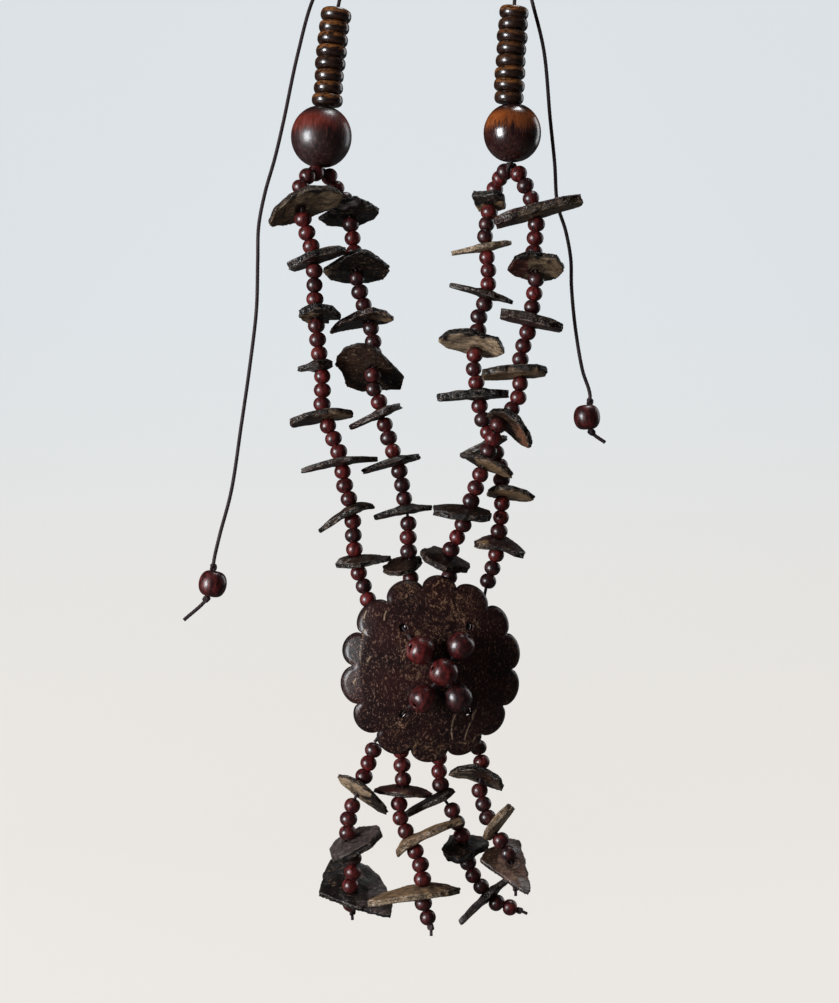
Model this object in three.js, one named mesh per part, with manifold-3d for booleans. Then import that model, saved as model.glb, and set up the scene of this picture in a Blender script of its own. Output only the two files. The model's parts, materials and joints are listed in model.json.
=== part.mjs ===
// Coconut shell and wooden bead necklace, hanging by its cord. Millimetres, +Z up, the front faces -Y.
// The origin is where a peg bears on the crown of the cord loop.
// A cord's route is a list of points chosen by hand. Beads and chips are strung on it by length.
import * as THREE from 'three';
import { mergeVertices } from 'three/addons/utils/BufferGeometryUtils.js';
import Module from 'manifold-3d';

const wasm = await Module();
wasm.setup();

// Cord
const cordRadius = 0.6;
const cordSides = 8;
const cordStep = 8;
const runningGap = 0.3; // between separate pieces that bear on each other
const swingGap = 0.5; // between two cord ends that meet at a swinging joint

// Small round beads
const beadRadius = 2.5;
const beadLength = 4.1;
const beadMouthRadius = 1;
const beadShoulderShare = 0.28;
const beadSides = 7;

// Flat beads in the two side stacks
const rondelleRadius = 4.75;
const rondelleLength = 3.8;
const rondelleMouthRadius = 2.6;
const rondelleShoulderShare = 0.26;
const rondelleCount = 8;
const rondelleSides = 9;

// Large beads
const leftLargeRadius = 9.5;
const rightLargeRadius = 9;
const largeBoreRadius = 1.6;
const largeSides = 12;
const largeRings = 8;

// Knots
const gatherKnotRadius = 2;
const gatherKnotLength = 3.2;
const endKnotRadius = 1.2;
const endKnotLength = 2.2;
const slidingKnotRadius = 2.3;
const slidingKnotLength = 6;
const slidingKnotTurns = 4;
const slidingKnotGrooveShare = 0.84;
const slidingKnotBoreRadius = 0.95;

// Cord loop and side cords
const loopDrop = 28; // from the crown to the swinging joint of the whole necklace
const knotBelowJoint = 10; // from that joint to the top of the sliding knots
const leftLead = 35; // bare cord from the swinging joint to the top flat bead
const rightLead = 33.6;

// Shell chips
const chipHoleRadius = 1;
const chipSeatGap = 0.42;
const chipEdgeShare = 0.72; // edge thickness against the thickness at the hole
const chipCurledDroop = 0.9; // a chip that droops more than this gets a middle row of points

// Tail end beads
const leftEndBeadRadius = 4.4;
const rightEndBeadRadius = 4.2;
const endBeadLengthShare = 1.85;
const leftTailEnd = 8.6; // bare cord below the lower stopper knot
const rightTailEnd = 4.4;

// Scalloped pendant
const pendantRadius = 29;
const pendantThickness = 3;
const pendantDomeRadius = 72; // curve of the shell that it was cut from
const petalDepth = 3.8;
const petalSteps = 6;
const petalRoundShare = 0.52;
// Where the notches between its petals are, in degrees from the top towards +X
const petalNotches = [-7.5, 17, 43, 66, 91.5, 118, 143, 169.5, 196, 223, 247, 273.5, 297, 325.5];
const pendantRimShare = 0.965;
const pendantYaw = 15; // degrees, its face turned towards +X
const pendantStandoff = 5.8; // from the middle of the rim back to the cords
const strandOverlap = 10; // how far the pendant's top reaches above the strand ends
const fringeOverlap = 6; // and below the tops of the fringe strands
const tieHoleRadius = 1.2;
const tieHoleAcross = 10.5;
const tieHoleUp = 13.2;
const holeSides = 10;

// Five beads on the pendant's face
const faceBeadRadius = 4.4;
const faceBeadSides = 9;
const faceBeadRings = 6;
const faceBeadShares = [[-0.235, 0.23], [0.2, 0.27], [-0.2, -0.276], [0.176, -0.276]];
const middleBeadLift = 1.2; // the fifth bead sits in the middle, a little proud of the others
const buttonKnotRadius = 1.7;
const backKnotRadius = 2.2;

// Fringe strands
const fringeStandoff = 4.9; // from the middle of the rim back to the fringe cords
const fringeCordEnd = 1.6;

const material = (color, roughness) => new THREE.MeshStandardMaterial({ color, roughness, metalness: 0 });
const cordMaterial = material('#3a2626', 0.6);
const beadMaterial = material('#5c1a18', 0.3);
const largeBeadMaterial = material('#45160f', 0.2);
const chipMaterial = material('#2c1c17', 0.45);
const paleChipMaterial = material('#8a7254', 0.7);
const pendantMaterial = material('#3b1715', 0.3);

// Closed solid from a geometry, with its shared vertices merged
const weldDistance = 1e-4;
function solidOf(geometry) {
  const bare = geometry.clone();
  bare.deleteAttribute('normal');
  bare.deleteAttribute('uv');
  const merged = mergeVertices(bare, weldDistance);
  const vertProperties = merged.attributes.position.array;
  const triVerts = Uint32Array.from(merged.index.array);
  return new wasm.Manifold(new wasm.Mesh({ numProp: 3, vertProperties, triVerts }));
}

function geometryOf(solid) {
  const mesh = solid.getMesh();
  const geometry = new THREE.BufferGeometry();
  geometry.setAttribute('position', new THREE.BufferAttribute(mesh.vertProperties, 3));
  geometry.setIndex(new THREE.BufferAttribute(mesh.triVerts, 1));
  geometry.computeVertexNormals();
  return geometry;
}

// Turns every face over if the closed surface is inside out
function facingOut(geometry) {
  const place = geometry.attributes.position;
  const index = geometry.index;
  const a = new THREE.Vector3();
  const b = new THREE.Vector3();
  const c = new THREE.Vector3();
  let volume = 0;
  for (let i = 0; i < index.count; i += 3) {
    a.fromBufferAttribute(place, index.getX(i));
    b.fromBufferAttribute(place, index.getX(i + 1));
    c.fromBufferAttribute(place, index.getX(i + 2));
    volume += a.dot(b.cross(c));
  }
  if (volume < 0) {
    for (let i = 0; i < index.count; i += 3) {
      const first = index.getX(i);
      index.setX(i, index.getX(i + 1));
      index.setX(i + 1, first);
    }
  }
  geometry.computeVertexNormals();
  return geometry;
}

// Surface through closed loops of points, joined in turn and back to the first
function loopedGeometry(loops) {
  const count = loops[0].length;
  const place = loops.flat().flatMap((p) => [p.x, p.y, p.z]);
  const index = [];
  loops.forEach((_, row) => {
    const next = (row + 1) % loops.length;
    for (let i = 0; i < count; i += 1) {
      const j = (i + 1) % count;
      const corners = [row * count + i, row * count + j, next * count + j, next * count + i];
      index.push(corners[0], corners[1], corners[2], corners[0], corners[2], corners[3]);
    }
  });
  const geometry = new THREE.BufferGeometry();
  geometry.setAttribute('position', new THREE.Float32BufferAttribute(place, 3));
  geometry.setIndex(index);
  return facingOut(geometry);
}

// A cord along a route, with what is strung on it. Its section is revolved and then bent along the route.
class Thread {
  constructor(points) {
    this.curve = new THREE.CatmullRomCurve3(points, false, 'centripetal');
    this.curve.arcLengthDivisions = 40 * points.length;
    this.routeLength = this.curve.getLength();
    this.at = 0;
    this.profile = [[0, 0], [cordRadius, 0]];
    this.beadJustEnded = false;
  }

  tangent(s) {
    return this.curve.getTangentAt(THREE.MathUtils.clamp(s / this.routeLength, 0, 1));
  }

  point(s) {
    const share = THREE.MathUtils.clamp(s / this.routeLength, 0, 1);
    const place = this.curve.getPointAt(share);
    return place.addScaledVector(this.tangent(s), s - share * this.routeLength);
  }

  bareCord(length) {
    const steps = Math.max(1, Math.round(length / cordStep));
    for (let i = 1; i <= steps; i += 1) {
      this.profile.push([cordRadius, this.at + (length * i) / steps]);
    }
    this.at += length;
    this.beadJustEnded = false;
  }

  bead(radius, length, mouthRadius, shoulderShare) {
    if (this.beadJustEnded) {
      this.profile.at(-1)[0] = mouthRadius;
    }
    this.profile.push([radius, this.at + length * shoulderShare]);
    this.profile.push([radius, this.at + length * (1 - shoulderShare)]);
    this.at += length;
    this.profile.push([cordRadius, this.at]);
    this.beadJustEnded = true;
  }

  roundBead(radius, length) {
    const start = this.at;
    const half = length / 2;
    const rings = largeRings - 1;
    for (let i = 1; i < rings; i += 1) {
      const turn = (Math.PI * i) / rings;
      this.profile.push([radius * Math.sin(turn), start + half * (1 - Math.cos(turn))]);
    }
    this.at += length;
    this.profile.push([cordRadius, this.at]);
    this.beadJustEnded = false;
  }

  smallBeads(count) {
    for (let i = 0; i < count; i += 1) {
      this.bead(beadRadius, beadLength, beadMouthRadius, beadShoulderShare);
    }
  }

  knot(radius, length) {
    this.bead(radius, length, cordRadius, beadShoulderShare);
    this.beadJustEnded = false;
  }

  geometry(sides) {
    const points = [...this.profile, [0, this.at]].map(([r, s]) => new THREE.Vector2(r, s));
    const lathe = new THREE.LatheGeometry(points, sides);
    const place = lathe.attributes.position;
    for (let i = 0; i < place.count; i += 1) {
      const s = place.getY(i);
      const along = this.tangent(s);
      const back = new THREE.Vector3(0, 1, 0).addScaledVector(along, -along.y).normalize();
      const across = new THREE.Vector3().crossVectors(back, along);
      const bent = this.point(s);
      bent.addScaledVector(across, place.getX(i)).addScaledVector(back, place.getZ(i));
      place.setXYZ(i, bent.x, bent.y, bent.z);
    }
    return facingOut(lathe);
  }
}

const vector = ([x, y, z]) => new THREE.Vector3(x, y, z);
const routeFrom = (start, origin, points) => {
  const shift = start.clone().sub(vector(origin));
  return [start, ...points.map((p) => vector(p).add(shift))];
};

const necklace = new THREE.Group();
function addPiece(name, geometry, look, parent = necklace) {
  const mesh = new THREE.Mesh(geometry, look);
  mesh.name = name;
  parent.add(mesh);
  return mesh;
}

// Chip outlines seen from above, as shares of the reach to the right or left and to the back or front
const outlineShares = {
  wing: [[1, -0.12], [0.8, 0.55], [0.3, 0.95], [-0.25, 1], [-0.7, 0.6], [-1, 0.05], [-0.75, -0.5],
    [-0.2, -0.85], [0.3, -1], [0.78, -0.7]],
  lens: [[1, 0], [0.66, 0.55], [0.2, 0.92], [-0.25, 1], [-0.68, 0.6], [-1, -0.05], [-0.7, -0.55],
    [-0.2, -0.95], [0.25, -1], [0.7, -0.6]],
  plank: [[1, -0.3], [0.97, 0.45], [0.5, 0.9], [-0.1, 1], [-0.6, 0.85], [-0.96, 0.5], [-1, -0.4],
    [-0.55, -0.9], [0, -1], [0.6, -0.85]],
  fan: [[1, -0.2], [0.75, 0.5], [0.25, 1], [-0.3, 0.9], [-0.75, 0.45], [-1, -0.1], [-0.8, -0.75], [-0.3, -1],
    [0.25, -0.8], [0.7, -0.9]],
  shard: [[1, 0.1], [0.55, 0.75], [0.05, 0.8], [-0.4, 1], [-0.85, 0.65], [-1, -0.2], [-0.5, -0.6], [-0.1, -1],
    [0.45, -0.7], [0.85, -0.5]],
  knob: [[1, 0.2], [0.55, 0.5], [0.5, 1], [-0.1, 0.75], [-0.5, 0.95], [-0.8, 0.35], [-1, -0.4], [-0.4, -0.6],
    [0.05, -1], [0.75, -0.7]],
  slab: [[0.96, 0.43], [0.83, 0.9], [0.23, 0.93], [-0.34, 1], [-0.73, 0.79], [-0.84, 0.28], [-1, 0],
    [-0.98, -0.3], [-0.76, -0.8], [-0.37, -1], [-0.03, -0.93], [0.37, -0.3]],
  shield: [[1, -0.31], [0.84, 0.24], [0.66, 0.57], [0.35, 0.87], [-0.12, 1], [-0.74, 0.98], [-0.875, 0.65],
    [-1, -0.06], [0, -0.67], [0.77, -0.99], [0.96, -0.99]],
  crest: [[1, 0.05], [0.78, 0.6], [0.3, 0.95], [-0.3, 1], [-0.8, 0.7], [-1, 0.2], [-0.62, -0.2],
    [-0.15, -0.85], [0.3, -1], [0.68, -0.5]],
  triangle: [[1, -0.83], [0.68, 0.26], [0.44, 0.93], [-0.09, 1], [-0.76, 0.59], [-1, 0.2], [-0.33, -0.41],
    [0.35, -0.86], [0.82, -1]],
};

// Every chip: its reach from the drilled hole to the left, right, front and back, its thickness, how many
// degrees its right side lifts and its front edge nods, how far its ends droop with the shell's curve, and
// its outline.
const chip = (left, right, front, back, thickness, lift, nod, droop, outline, look = chipMaterial) =>
  ({ left, right, front, back, thickness, lift, nod, droop, outline, look });

const chips = {
  left_outer: [
    chip(11.8, 13.4, 6.5, 7.5, 2.4, 20, -27, 3, 'wing', paleChipMaterial),
    chip(8.3, 10.6, 6, 5, 2.7, 17, -8, 0.3, 'shard'),
    chip(5.2, 7.8, 5.5, 6.5, 2.8, 2, -18, 1.2, 'knob'),
    chip(7.9, 4.2, 5.5, 5.5, 2.6, 9, -4, 0.3, 'shard'),
    chip(10.7, 9.1, 6, 6, 2.2, 9, -9, 1, 'plank'),
    chip(13.2, 11.6, 6, 6, 1.7, 9, -3, 1.1, 'lens'),
    chip(12.2, 6.8, 5.5, 6.5, 2, 25, 4, 1.9, 'wing'),
    chip(6.6, 11.7, 6, 6.5, 2.4, 7, 13, 0.4, 'shard'),
  ],
  left_inner: [
    chip(9.3, 9.9, 7, 7, 2.3, 5, -26, 0.4, 'crest'),
    chip(10.4, 11.1, 7.5, 8.5, 2.3, -1, -31, 0.8, 'crest'),
    chip(12.4, 7.9, 6, 6.5, 2, 11, -14, 2.4, 'wing'),
    chip(11.9, 10.7, 8.5, 11.5, 2.2, 0, -46, 0.4, 'slab'),
    chip(11.4, 6.6, 6, 6, 2, 23, 0, 0.4, 'lens'),
    chip(11.4, 7.8, 6, 5.5, 1.9, 15, -4, 0.5, 'lens'),
    chip(10.4, 8, 5.5, 5.5, 2.2, 10, -1, 0.9, 'plank'),
    chip(9, 4.5, 7, 6.5, 2.8, 6, 20, 0.3, 'slab'),
  ],
  right_back: [
    chip(6.6, 4.8, 5.6, 6, 2.6, -13, -27, 0.3, 'knob', paleChipMaterial),
    chip(11.5, 8.6, 6, 6, 1.8, 10, 4, 0.2, 'lens', paleChipMaterial),
    chip(12.3, 8.8, 5, 6, 1.8, -15.5, 3, 0.3, 'lens'),
    chip(12.6, 8.6, 7.5, 7.5, 2.4, -11, -22, 1.9, 'fan', paleChipMaterial),
    chip(13.2, 9.8, 6, 6, 2.9, 3, 0, 0.4, 'plank'),
    chip(11, 5, 4, 6, 2, 22, -8, 0.3, 'shard'),
    chip(4.8, 10.4, 6, 6, 2.3, -7, -15, 1, 'wing'),
    chip(7.2, 9.4, 6.5, 7, 2.4, -13, 14, 1.8, 'fan'),
  ],
  right_front: [
    chip(13.2, 15.2, 5.5, 6, 3.6, 15, -5, 0.3, 'plank'),
    chip(8.7, 9, 7, 7, 2.4, -2, -30, 2, 'fan', paleChipMaterial),
    chip(9.6, 10.4, 6, 5, 3.4, -13, -2, 0.3, 'plank'),
    chip(12.2, 8.2, 6, 6, 2.9, 3, -8, 0.3, 'plank'),
    chip(4.8, 12, 6, 6, 2.6, -38, -20, 2.6, 'wing'),
    chip(6.6, 10, 5.5, 4.5, 2, -25, -14, 0.3, 'wing'),
    chip(10.8, 7.6, 6, 6, 2.8, -6, 14, 0.4, 'plank'),
    chip(9.6, 7, 7, 6.5, 2.8, -27, 20, 0.4, 'slab'),
  ],
  fringe_1: [
    chip(8, 12, 6.5, 6.5, 2.3, -38, -24, 0.8, 'wing', paleChipMaterial),
    chip(6.8, 10.6, 6.5, 6.5, 2.8, 27, 20, 0.4, 'plank'),
    chip(10, 13.6, 6.5, 12.4, 2.2, -4, 46, 0.4, 'shield'),
  ],
  fringe_2: [
    chip(9.4, 10, 6, 6.5, 2.2, -4, 6, 0.6, 'wing'),
    chip(5.6, 17.4, 4.5, 4.5, 2.3, 27, -4, 1.6, 'plank', paleChipMaterial),
    chip(17.8, 11.7, 5.5, 5.5, 2.4, 8, 6, 1.6, 'lens', paleChipMaterial),
  ],
  fringe_3: [
    chip(14.6, 3.8, 5, 5, 2, 27, 2, 0.3, 'lens'),
    chip(7.2, 8, 6.5, 7, 3, -5, 26, 0.4, 'slab'),
    chip(12.8, 8.4, 5.5, 5.5, 2.2, 42, -12, 0.5, 'lens'),
  ],
  fringe_4: [
    chip(10, 7.8, 6.5, 7, 2.3, -16, -24, 3, 'fan', paleChipMaterial),
    chip(3.6, 9.4, 4.8, 4.8, 2.4, 52, -20, 0.3, 'plank', paleChipMaterial),
    chip(10.3, 5.6, 10.4, 9.8, 2, 0, 46, 0.3, 'triangle', paleChipMaterial),
  ],
};

const turnOf = (piece) => new THREE.Euler(
  THREE.MathUtils.degToRad(piece.nod),
  -THREE.MathUtils.degToRad(piece.lift),
  0,
  'YXZ',
);

// A broken piece of shell, flat but for its droop, drilled along the cord that it hangs on
function chipGeometry(piece, cordAxis) {
  const axis = cordAxis.clone().multiplyScalar(-1);
  const side = new THREE.Vector3(1, 0, 0).addScaledVector(axis, -axis.x).normalize();
  const other = new THREE.Vector3().crossVectors(axis, side);
  const loops = { holeTop: [], midTop: [], rimTop: [], rimBottom: [], midBottom: [], holeBottom: [] };
  const half = piece.thickness / 2;
  outlineShares[piece.outline].forEach(([acrossShare, deepShare]) => {
    const x = acrossShare * (acrossShare > 0 ? piece.right : piece.left);
    const y = deepShare * (deepShare > 0 ? piece.back : piece.front);
    const rim = new THREE.Vector3(x, y, -piece.droop * acrossShare ** 2);
    const turn = Math.atan2(rim.dot(other), rim.dot(side));
    const hole = side.clone().multiplyScalar(chipHoleRadius * Math.cos(turn));
    hole.addScaledVector(other, chipHoleRadius * Math.sin(turn));
    const holeAt = (height) => hole.clone().addScaledVector(axis, (height - hole.z) / axis.z);
    const holeTop = holeAt(half);
    const holeBottom = holeAt(-half);
    const mid = (from, height) => {
      const place = from.clone().lerp(rim, 0.5);
      place.z = height - piece.droop * (acrossShare / 2) ** 2;
      return place;
    };
    loops.holeTop.push(holeTop);
    loops.midTop.push(mid(holeTop, half));
    loops.rimTop.push(rim.clone().setZ(rim.z + half * chipEdgeShare));
    loops.rimBottom.push(rim.clone().setZ(rim.z - half * chipEdgeShare));
    loops.midBottom.push(mid(holeBottom, -half));
    loops.holeBottom.push(holeBottom);
  });
  const { holeTop, midTop, rimTop, rimBottom, midBottom, holeBottom } = loops;
  const curled = piece.droop > chipCurledDroop;
  return loopedGeometry(curled
    ? [holeTop, midTop, rimTop, rimBottom, midBottom, holeBottom]
    : [holeTop, rimTop, rimBottom, holeBottom]);
}

// Strings one chip on a thread: leaves the bare cord that its tilt needs and adds the chip as its own piece
function stringChip(thread, piece, name) {
  const turn = new THREE.Quaternion().setFromEuler(turnOf(piece));
  const up = new THREE.Vector3(0, 0, 1).applyQuaternion(turn);
  const seatAt = (s) => {
    const cosine = Math.abs(up.dot(thread.tangent(s)));
    const sine = Math.sqrt(1 - cosine ** 2);
    const shoulderReach = beadRadius * sine + beadLength * (0.5 - beadShoulderShare) * cosine;
    const mouthReach = beadMouthRadius * sine + (beadLength / 2) * cosine;
    const reach = Math.max(shoulderReach, mouthReach) + piece.thickness / 2 + chipSeatGap;
    return reach / cosine - beadLength / 2;
  };
  const seat = seatAt(thread.at + seatAt(thread.at + piece.thickness));
  const middle = thread.at + seat;
  thread.bareCord(2 * seat);
  const localCord = thread.tangent(middle).applyQuaternion(turn.clone().invert());
  const mesh = addPiece(name, chipGeometry(piece, localCord), piece.look);
  mesh.position.copy(thread.point(middle));
  mesh.quaternion.copy(turn);
  return mesh;
}

// Beads in groups, with a chip between each two groups. A strand can have bare cord to spare before a group.
function stringBeads(thread, groups, spare, strandName) {
  groups.forEach((count, i) => {
    if (i > 0) {
      stringChip(thread, chips[strandName][i - 1], `chip_${strandName}_${i}`);
    }
    if (spare[i] > 0) {
      thread.bareCord(spare[i]);
    }
    thread.smallBeads(count);
  });
}

// Cord loop: the crown over its peg and the two upper legs, down to the swinging joint
const loopLeftX = -22.3;
const loopRightX = 27;
const loopPoints = [
  [loopLeftX, 0, -loopDrop], [-22.2, 0, -20], [-19.6, 0, -9.5], [-12, 0, -2.1], [0, 0, 0.6], [12.5, 0, -2.1],
  [22, 0, -9.5], [26.3, 0, -19.5], [loopRightX, 0, -loopDrop],
].map(vector);
const loopSteps = 18;
const section = new THREE.Shape(Array.from({ length: cordSides }, (_, i) => {
  const turn = (2 * Math.PI * i) / cordSides;
  return new THREE.Vector2(cordRadius * Math.cos(turn), cordRadius * Math.sin(turn));
}));
const loopCurve = new THREE.CatmullRomCurve3(loopPoints, false, 'centripetal');
addPiece('hanging_loop', new THREE.ExtrudeGeometry(section, {
  steps: loopSteps, bevelEnabled: false, extrudePath: loopCurve,
}), cordMaterial);

// One side: bare cord, flat beads, room for the large bead, the gather knot and the two strands below it
function side(name, points, lead, largeRadius, strands) {
  const start = new THREE.Vector3(points[0][0], points[0][1], points[0][2] - swingGap);
  const cord = new Thread([start, ...points.slice(1).map(vector)]);
  cord.bareCord(lead);
  for (let i = 0; i < rondelleCount; i += 1) {
    cord.bead(rondelleRadius, rondelleLength, rondelleMouthRadius, rondelleShoulderShare);
  }
  const largeHalf = Math.sqrt(largeRadius ** 2 - largeBoreRadius ** 2);
  const beadMiddle = cord.at + runningGap + largeHalf;
  cord.bareCord(2 * (largeHalf + runningGap));
  addLargeBead(`${name}_large_bead`, cord, beadMiddle, largeRadius);
  const knotMiddle = cord.point(cord.at + gatherKnotLength / 2);
  cord.knot(gatherKnotRadius, gatherKnotLength);
  const threads = strands.map(({ strandName, groups, spare, knot, route }) => {
    const thread = new Thread(routeFrom(knotMiddle, knot, route));
    thread.bareCord(gatherKnotLength / 2);
    stringBeads(thread, groups, spare, strandName);
    return thread;
  });
  return { name, cord, threads };
}

function addLargeBead(name, cord, middle, radius) {
  const half = Math.sqrt(radius ** 2 - largeBoreRadius ** 2);
  const reach = Math.asin(half / radius);
  const profile = Array.from({ length: largeRings + 1 }, (_, i) => {
    const turn = reach * ((2 * i) / largeRings - 1);
    return new THREE.Vector2(radius * Math.cos(turn), radius * Math.sin(turn));
  });
  profile.push(profile[0].clone());
  const mesh = addPiece(name, facingOut(new THREE.LatheGeometry(profile, largeSides)), largeBeadMaterial);
  mesh.position.copy(cord.point(middle));
  mesh.quaternion.setFromUnitVectors(new THREE.Vector3(0, -1, 0), cord.tangent(middle));
}

// Routes of the side cords and strands. A strand's route starts from the gather knot's place.
const leftKnot = [-33.3, 0, -115.4];
const rightKnot = [26.2, 0, -112.2];
const left = side(
  'left',
  [[loopLeftX, 0, -loopDrop], [-24.9, 0, -45], [-27.3, 0, -60], [-28.6, 0, -66], [-30.2, 0, -80],
    [-31.2, 0, -92], [-33, 0, -103], leftKnot, [-33.8, 0, -120]],
  leftLead,
  leftLargeRadius,
  [
    {
      strandName: 'left_outer',
      groups: [3, 3, 3, 3, 3, 3, 3, 3, 3],
      spare: [0, 0, 0, 0, 0, 0, 0, 0, 0],
      knot: leftKnot,
      route: [[-35.3, -4.2, -116.3], [-37.3, -6.4, -117.8], [-38.8, -7.2, -119.4], [-39, -6.9, -122.8],
        [-38.9, -6.2, -127], [-38, -5.2, -132.5], [-36.2, -4.6, -138], [-35.1, -4.4, -145],
        [-34.9, -4, -153], [-34.5, -3.6, -162], [-33.6, -3.4, -171.5], [-32.5, -3.6, -180],
        [-32.4, -4, -190], [-29.5, -4.4, -197.5], [-27, -4.6, -204], [-25.6, -4.2, -213],
        [-23.4, -3.6, -220.5], [-22.9, -3.4, -229], [-21.9, -3.6, -238], [-19.6, -4.2, -244.5],
        [-17.6, -4.5, -251]],
    },
    {
      strandName: 'left_inner',
      groups: [3, 3, 3, 3, 3, 3, 3, 3, 2],
      spare: [0, 0.3, 0, 0, 0, 0.4, 0, 1.2, 0],
      knot: leftKnot,
      route: [[-30.7, 1.8, -116.2], [-28.4, 3.2, -119.8], [-25.8, 3.8, -123.4], [-24.5, 3.6, -128],
        [-23.6, 3.2, -134], [-22.7, 3, -141], [-21.9, 2.8, -149], [-19.6, 2.6, -157.5],
        [-17.8, 3.4, -163], [-17, 3.6, -167.2], [-16.9, 1.9, -170.6], [-16.9, -0.1, -174],
        [-16.9, -1.6, -178], [-16.5, -1.4, -183.5], [-14.4, -0.6, -188.5], [-13, 0, -195],
        [-10.6, 0.4, -202.7], [-8.4, 0.4, -209.6], [-7.2, 0.2, -217], [-5.9, 0, -224],
        [-5.9, -0.6, -231.5], [-5.2, -1, -240], [-4.9, -1.2, -252]],
    },
  ],
);
const right = side(
  'right',
  [[loopRightX, 0, -loopDrop], [27.2, 0, -45], [27.4, 0, -60], [26.9, 0, -68], [26, 0, -82],
    [25.7, 0, -92], [26.7, 0, -101.5], rightKnot, [26.1, 0, -117]],
  rightLead,
  rightLargeRadius,
  [
    {
      strandName: 'right_back',
      groups: [3, 3, 3, 3, 3, 3, 3, 3, 3],
      spare: [0, 0, 0, 0, 0, 0, 0, 0, 0],
      knot: rightKnot,
      route: [[24.4, 3, -113.2], [23, 6.8, -114.6], [21.6, 9.6, -117.4], [20.6, 9.9, -121.4],
        [19.5, 8.2, -126.4], [18.4, 6, -132.6], [19.4, 3, -146], [18.6, 3, -153], [16, 3, -160],
        [16.2, 3, -166], [14.6, 3, -173], [15.9, 3, -181], [17, 3, -189], [18.8, 3.2, -194],
        [21, 3.6, -199], [23, 4, -205], [23.6, 4.2, -212], [23.5, 4.3, -220], [22.6, 4.4, -227],
        [21.6, 4.5, -234.5], [20, 4.6, -239.5], [18.4, 4.7, -245], [17.6, 4.7, -253]],
    },
    {
      strandName: 'right_front',
      groups: [3, 3, 3, 3, 3, 3, 3, 3, 2],
      spare: [0.2, 0, 0, 0, 0, 0, 0, 0, 0],
      knot: rightKnot,
      route: [[29, -1.5, -115], [31.2, -2, -119.6], [33.2, -2, -124.6], [34.1, -2, -131],
        [33.3, -2, -138], [34, -2, -146.5], [33.1, -2, -154], [31.6, -2, -163], [29.2, -2.2, -171.5],
        [29.1, -2.4, -178.6], [28, -2.8, -185.6], [25.2, -4, -189.2], [22.4, -6.2, -192.2],
        [20.9, -7.2, -195.8], [19.4, -6, -200], [17.8, -3.8, -204.6], [15.2, -2.2, -212.4],
        [13.2, -1.4, -218], [10.6, -0.6, -225.6], [7.6, 0.4, -231.5], [7, 1.2, -238], [7.3, 2, -252]],
    },
  ],
);

// The strands end level, where the pendant swings: just below the lowest of their last beads
const strandThreads = [...left.threads, ...right.threads];
const strandEndZ = Math.min(...strandThreads.map((thread) => thread.point(thread.at).z)) - cordRadius;
const strandEnds = strandThreads.map((thread) => {
  let more = 0;
  for (let i = 0; i < 30; i += 1) {
    more += thread.point(thread.at + more).z - strandEndZ;
  }
  thread.bareCord(more);
  return thread.point(thread.at);
});
[left, right].forEach(({ name, cord, threads }) => {
  const whole = threads.reduce(
    (sum, thread) => sum.add(solidOf(thread.geometry(beadSides))),
    solidOf(cord.geometry(rondelleSides)),
  );
  addPiece(`${name}_strands`, geometryOf(whole), beadMaterial);
});

// Sliding knots round the side cords, and the free tails that hang from them
function slidingKnot(name, cord) {
  const start = knotBelowJoint - swingGap;
  const steps = 2 * slidingKnotTurns;
  const profile = [new THREE.Vector2(slidingKnotBoreRadius, 0)];
  for (let i = 0; i <= steps; i += 1) {
    const radius = slidingKnotRadius * (i % 2 ? 1 : slidingKnotGrooveShare);
    profile.push(new THREE.Vector2(radius, (slidingKnotLength * i) / steps));
  }
  profile.push(new THREE.Vector2(slidingKnotBoreRadius, slidingKnotLength), profile[0].clone());
  const mesh = addPiece(name, facingOut(new THREE.LatheGeometry(profile, cordSides)), cordMaterial);
  mesh.position.copy(cord.point(start + slidingKnotLength));
  const along = cord.tangent(start + slidingKnotLength / 2);
  mesh.quaternion.setFromUnitVectors(new THREE.Vector3(0, -1, 0), along);
  return mesh.position.clone();
}

function tail(name, start, origin, route, beadRadiusHere, endLength) {
  const thread = new Thread(routeFrom(start, origin, route));
  const strung = 2 * endKnotLength + endBeadLengthShare * beadRadiusHere;
  thread.bareCord(thread.routeLength - strung - endLength);
  thread.knot(endKnotRadius, endKnotLength);
  thread.roundBead(beadRadiusHere, endBeadLengthShare * beadRadiusHere);
  thread.knot(endKnotRadius, endKnotLength);
  thread.bareCord(endLength);
  addPiece(name, thread.geometry(cordSides), cordMaterial);
}

const tailOffset = cordRadius + slidingKnotBoreRadius + runningGap;
const leftKnotBottom = slidingKnot('left_sliding_knot', left.cord);
const rightKnotBottom = slidingKnot('right_sliding_knot', right.cord);
const tailDrop = new THREE.Vector3(0, 0, -swingGap);
tail(
  'left_tail',
  leftKnotBottom.clone().add(tailDrop).add(new THREE.Vector3(-tailOffset, 0, 0)),
  [-26.6, 0, -44.5],
  [[-30, 0.4, -50.5], [-35.5, 0.6, -60], [-40.5, 0.8, -77.8], [-44.8, 1, -98.1], [-47.6, 1, -110],
    [-50.6, 1, -120.5], [-52.6, 1, -131], [-52.9, 1, -142], [-53.3, 1, -157], [-55.4, 1, -175],
    [-58, 1, -193], [-61.2, 1, -214], [-65, 1, -228.5], [-66.8, 1, -237], [-66.9, 1, -242.5],
    [-69, 1, -247.8], [-76, 1, -254.3]],
  leftEndBeadRadius,
  leftTailEnd,
);
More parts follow.
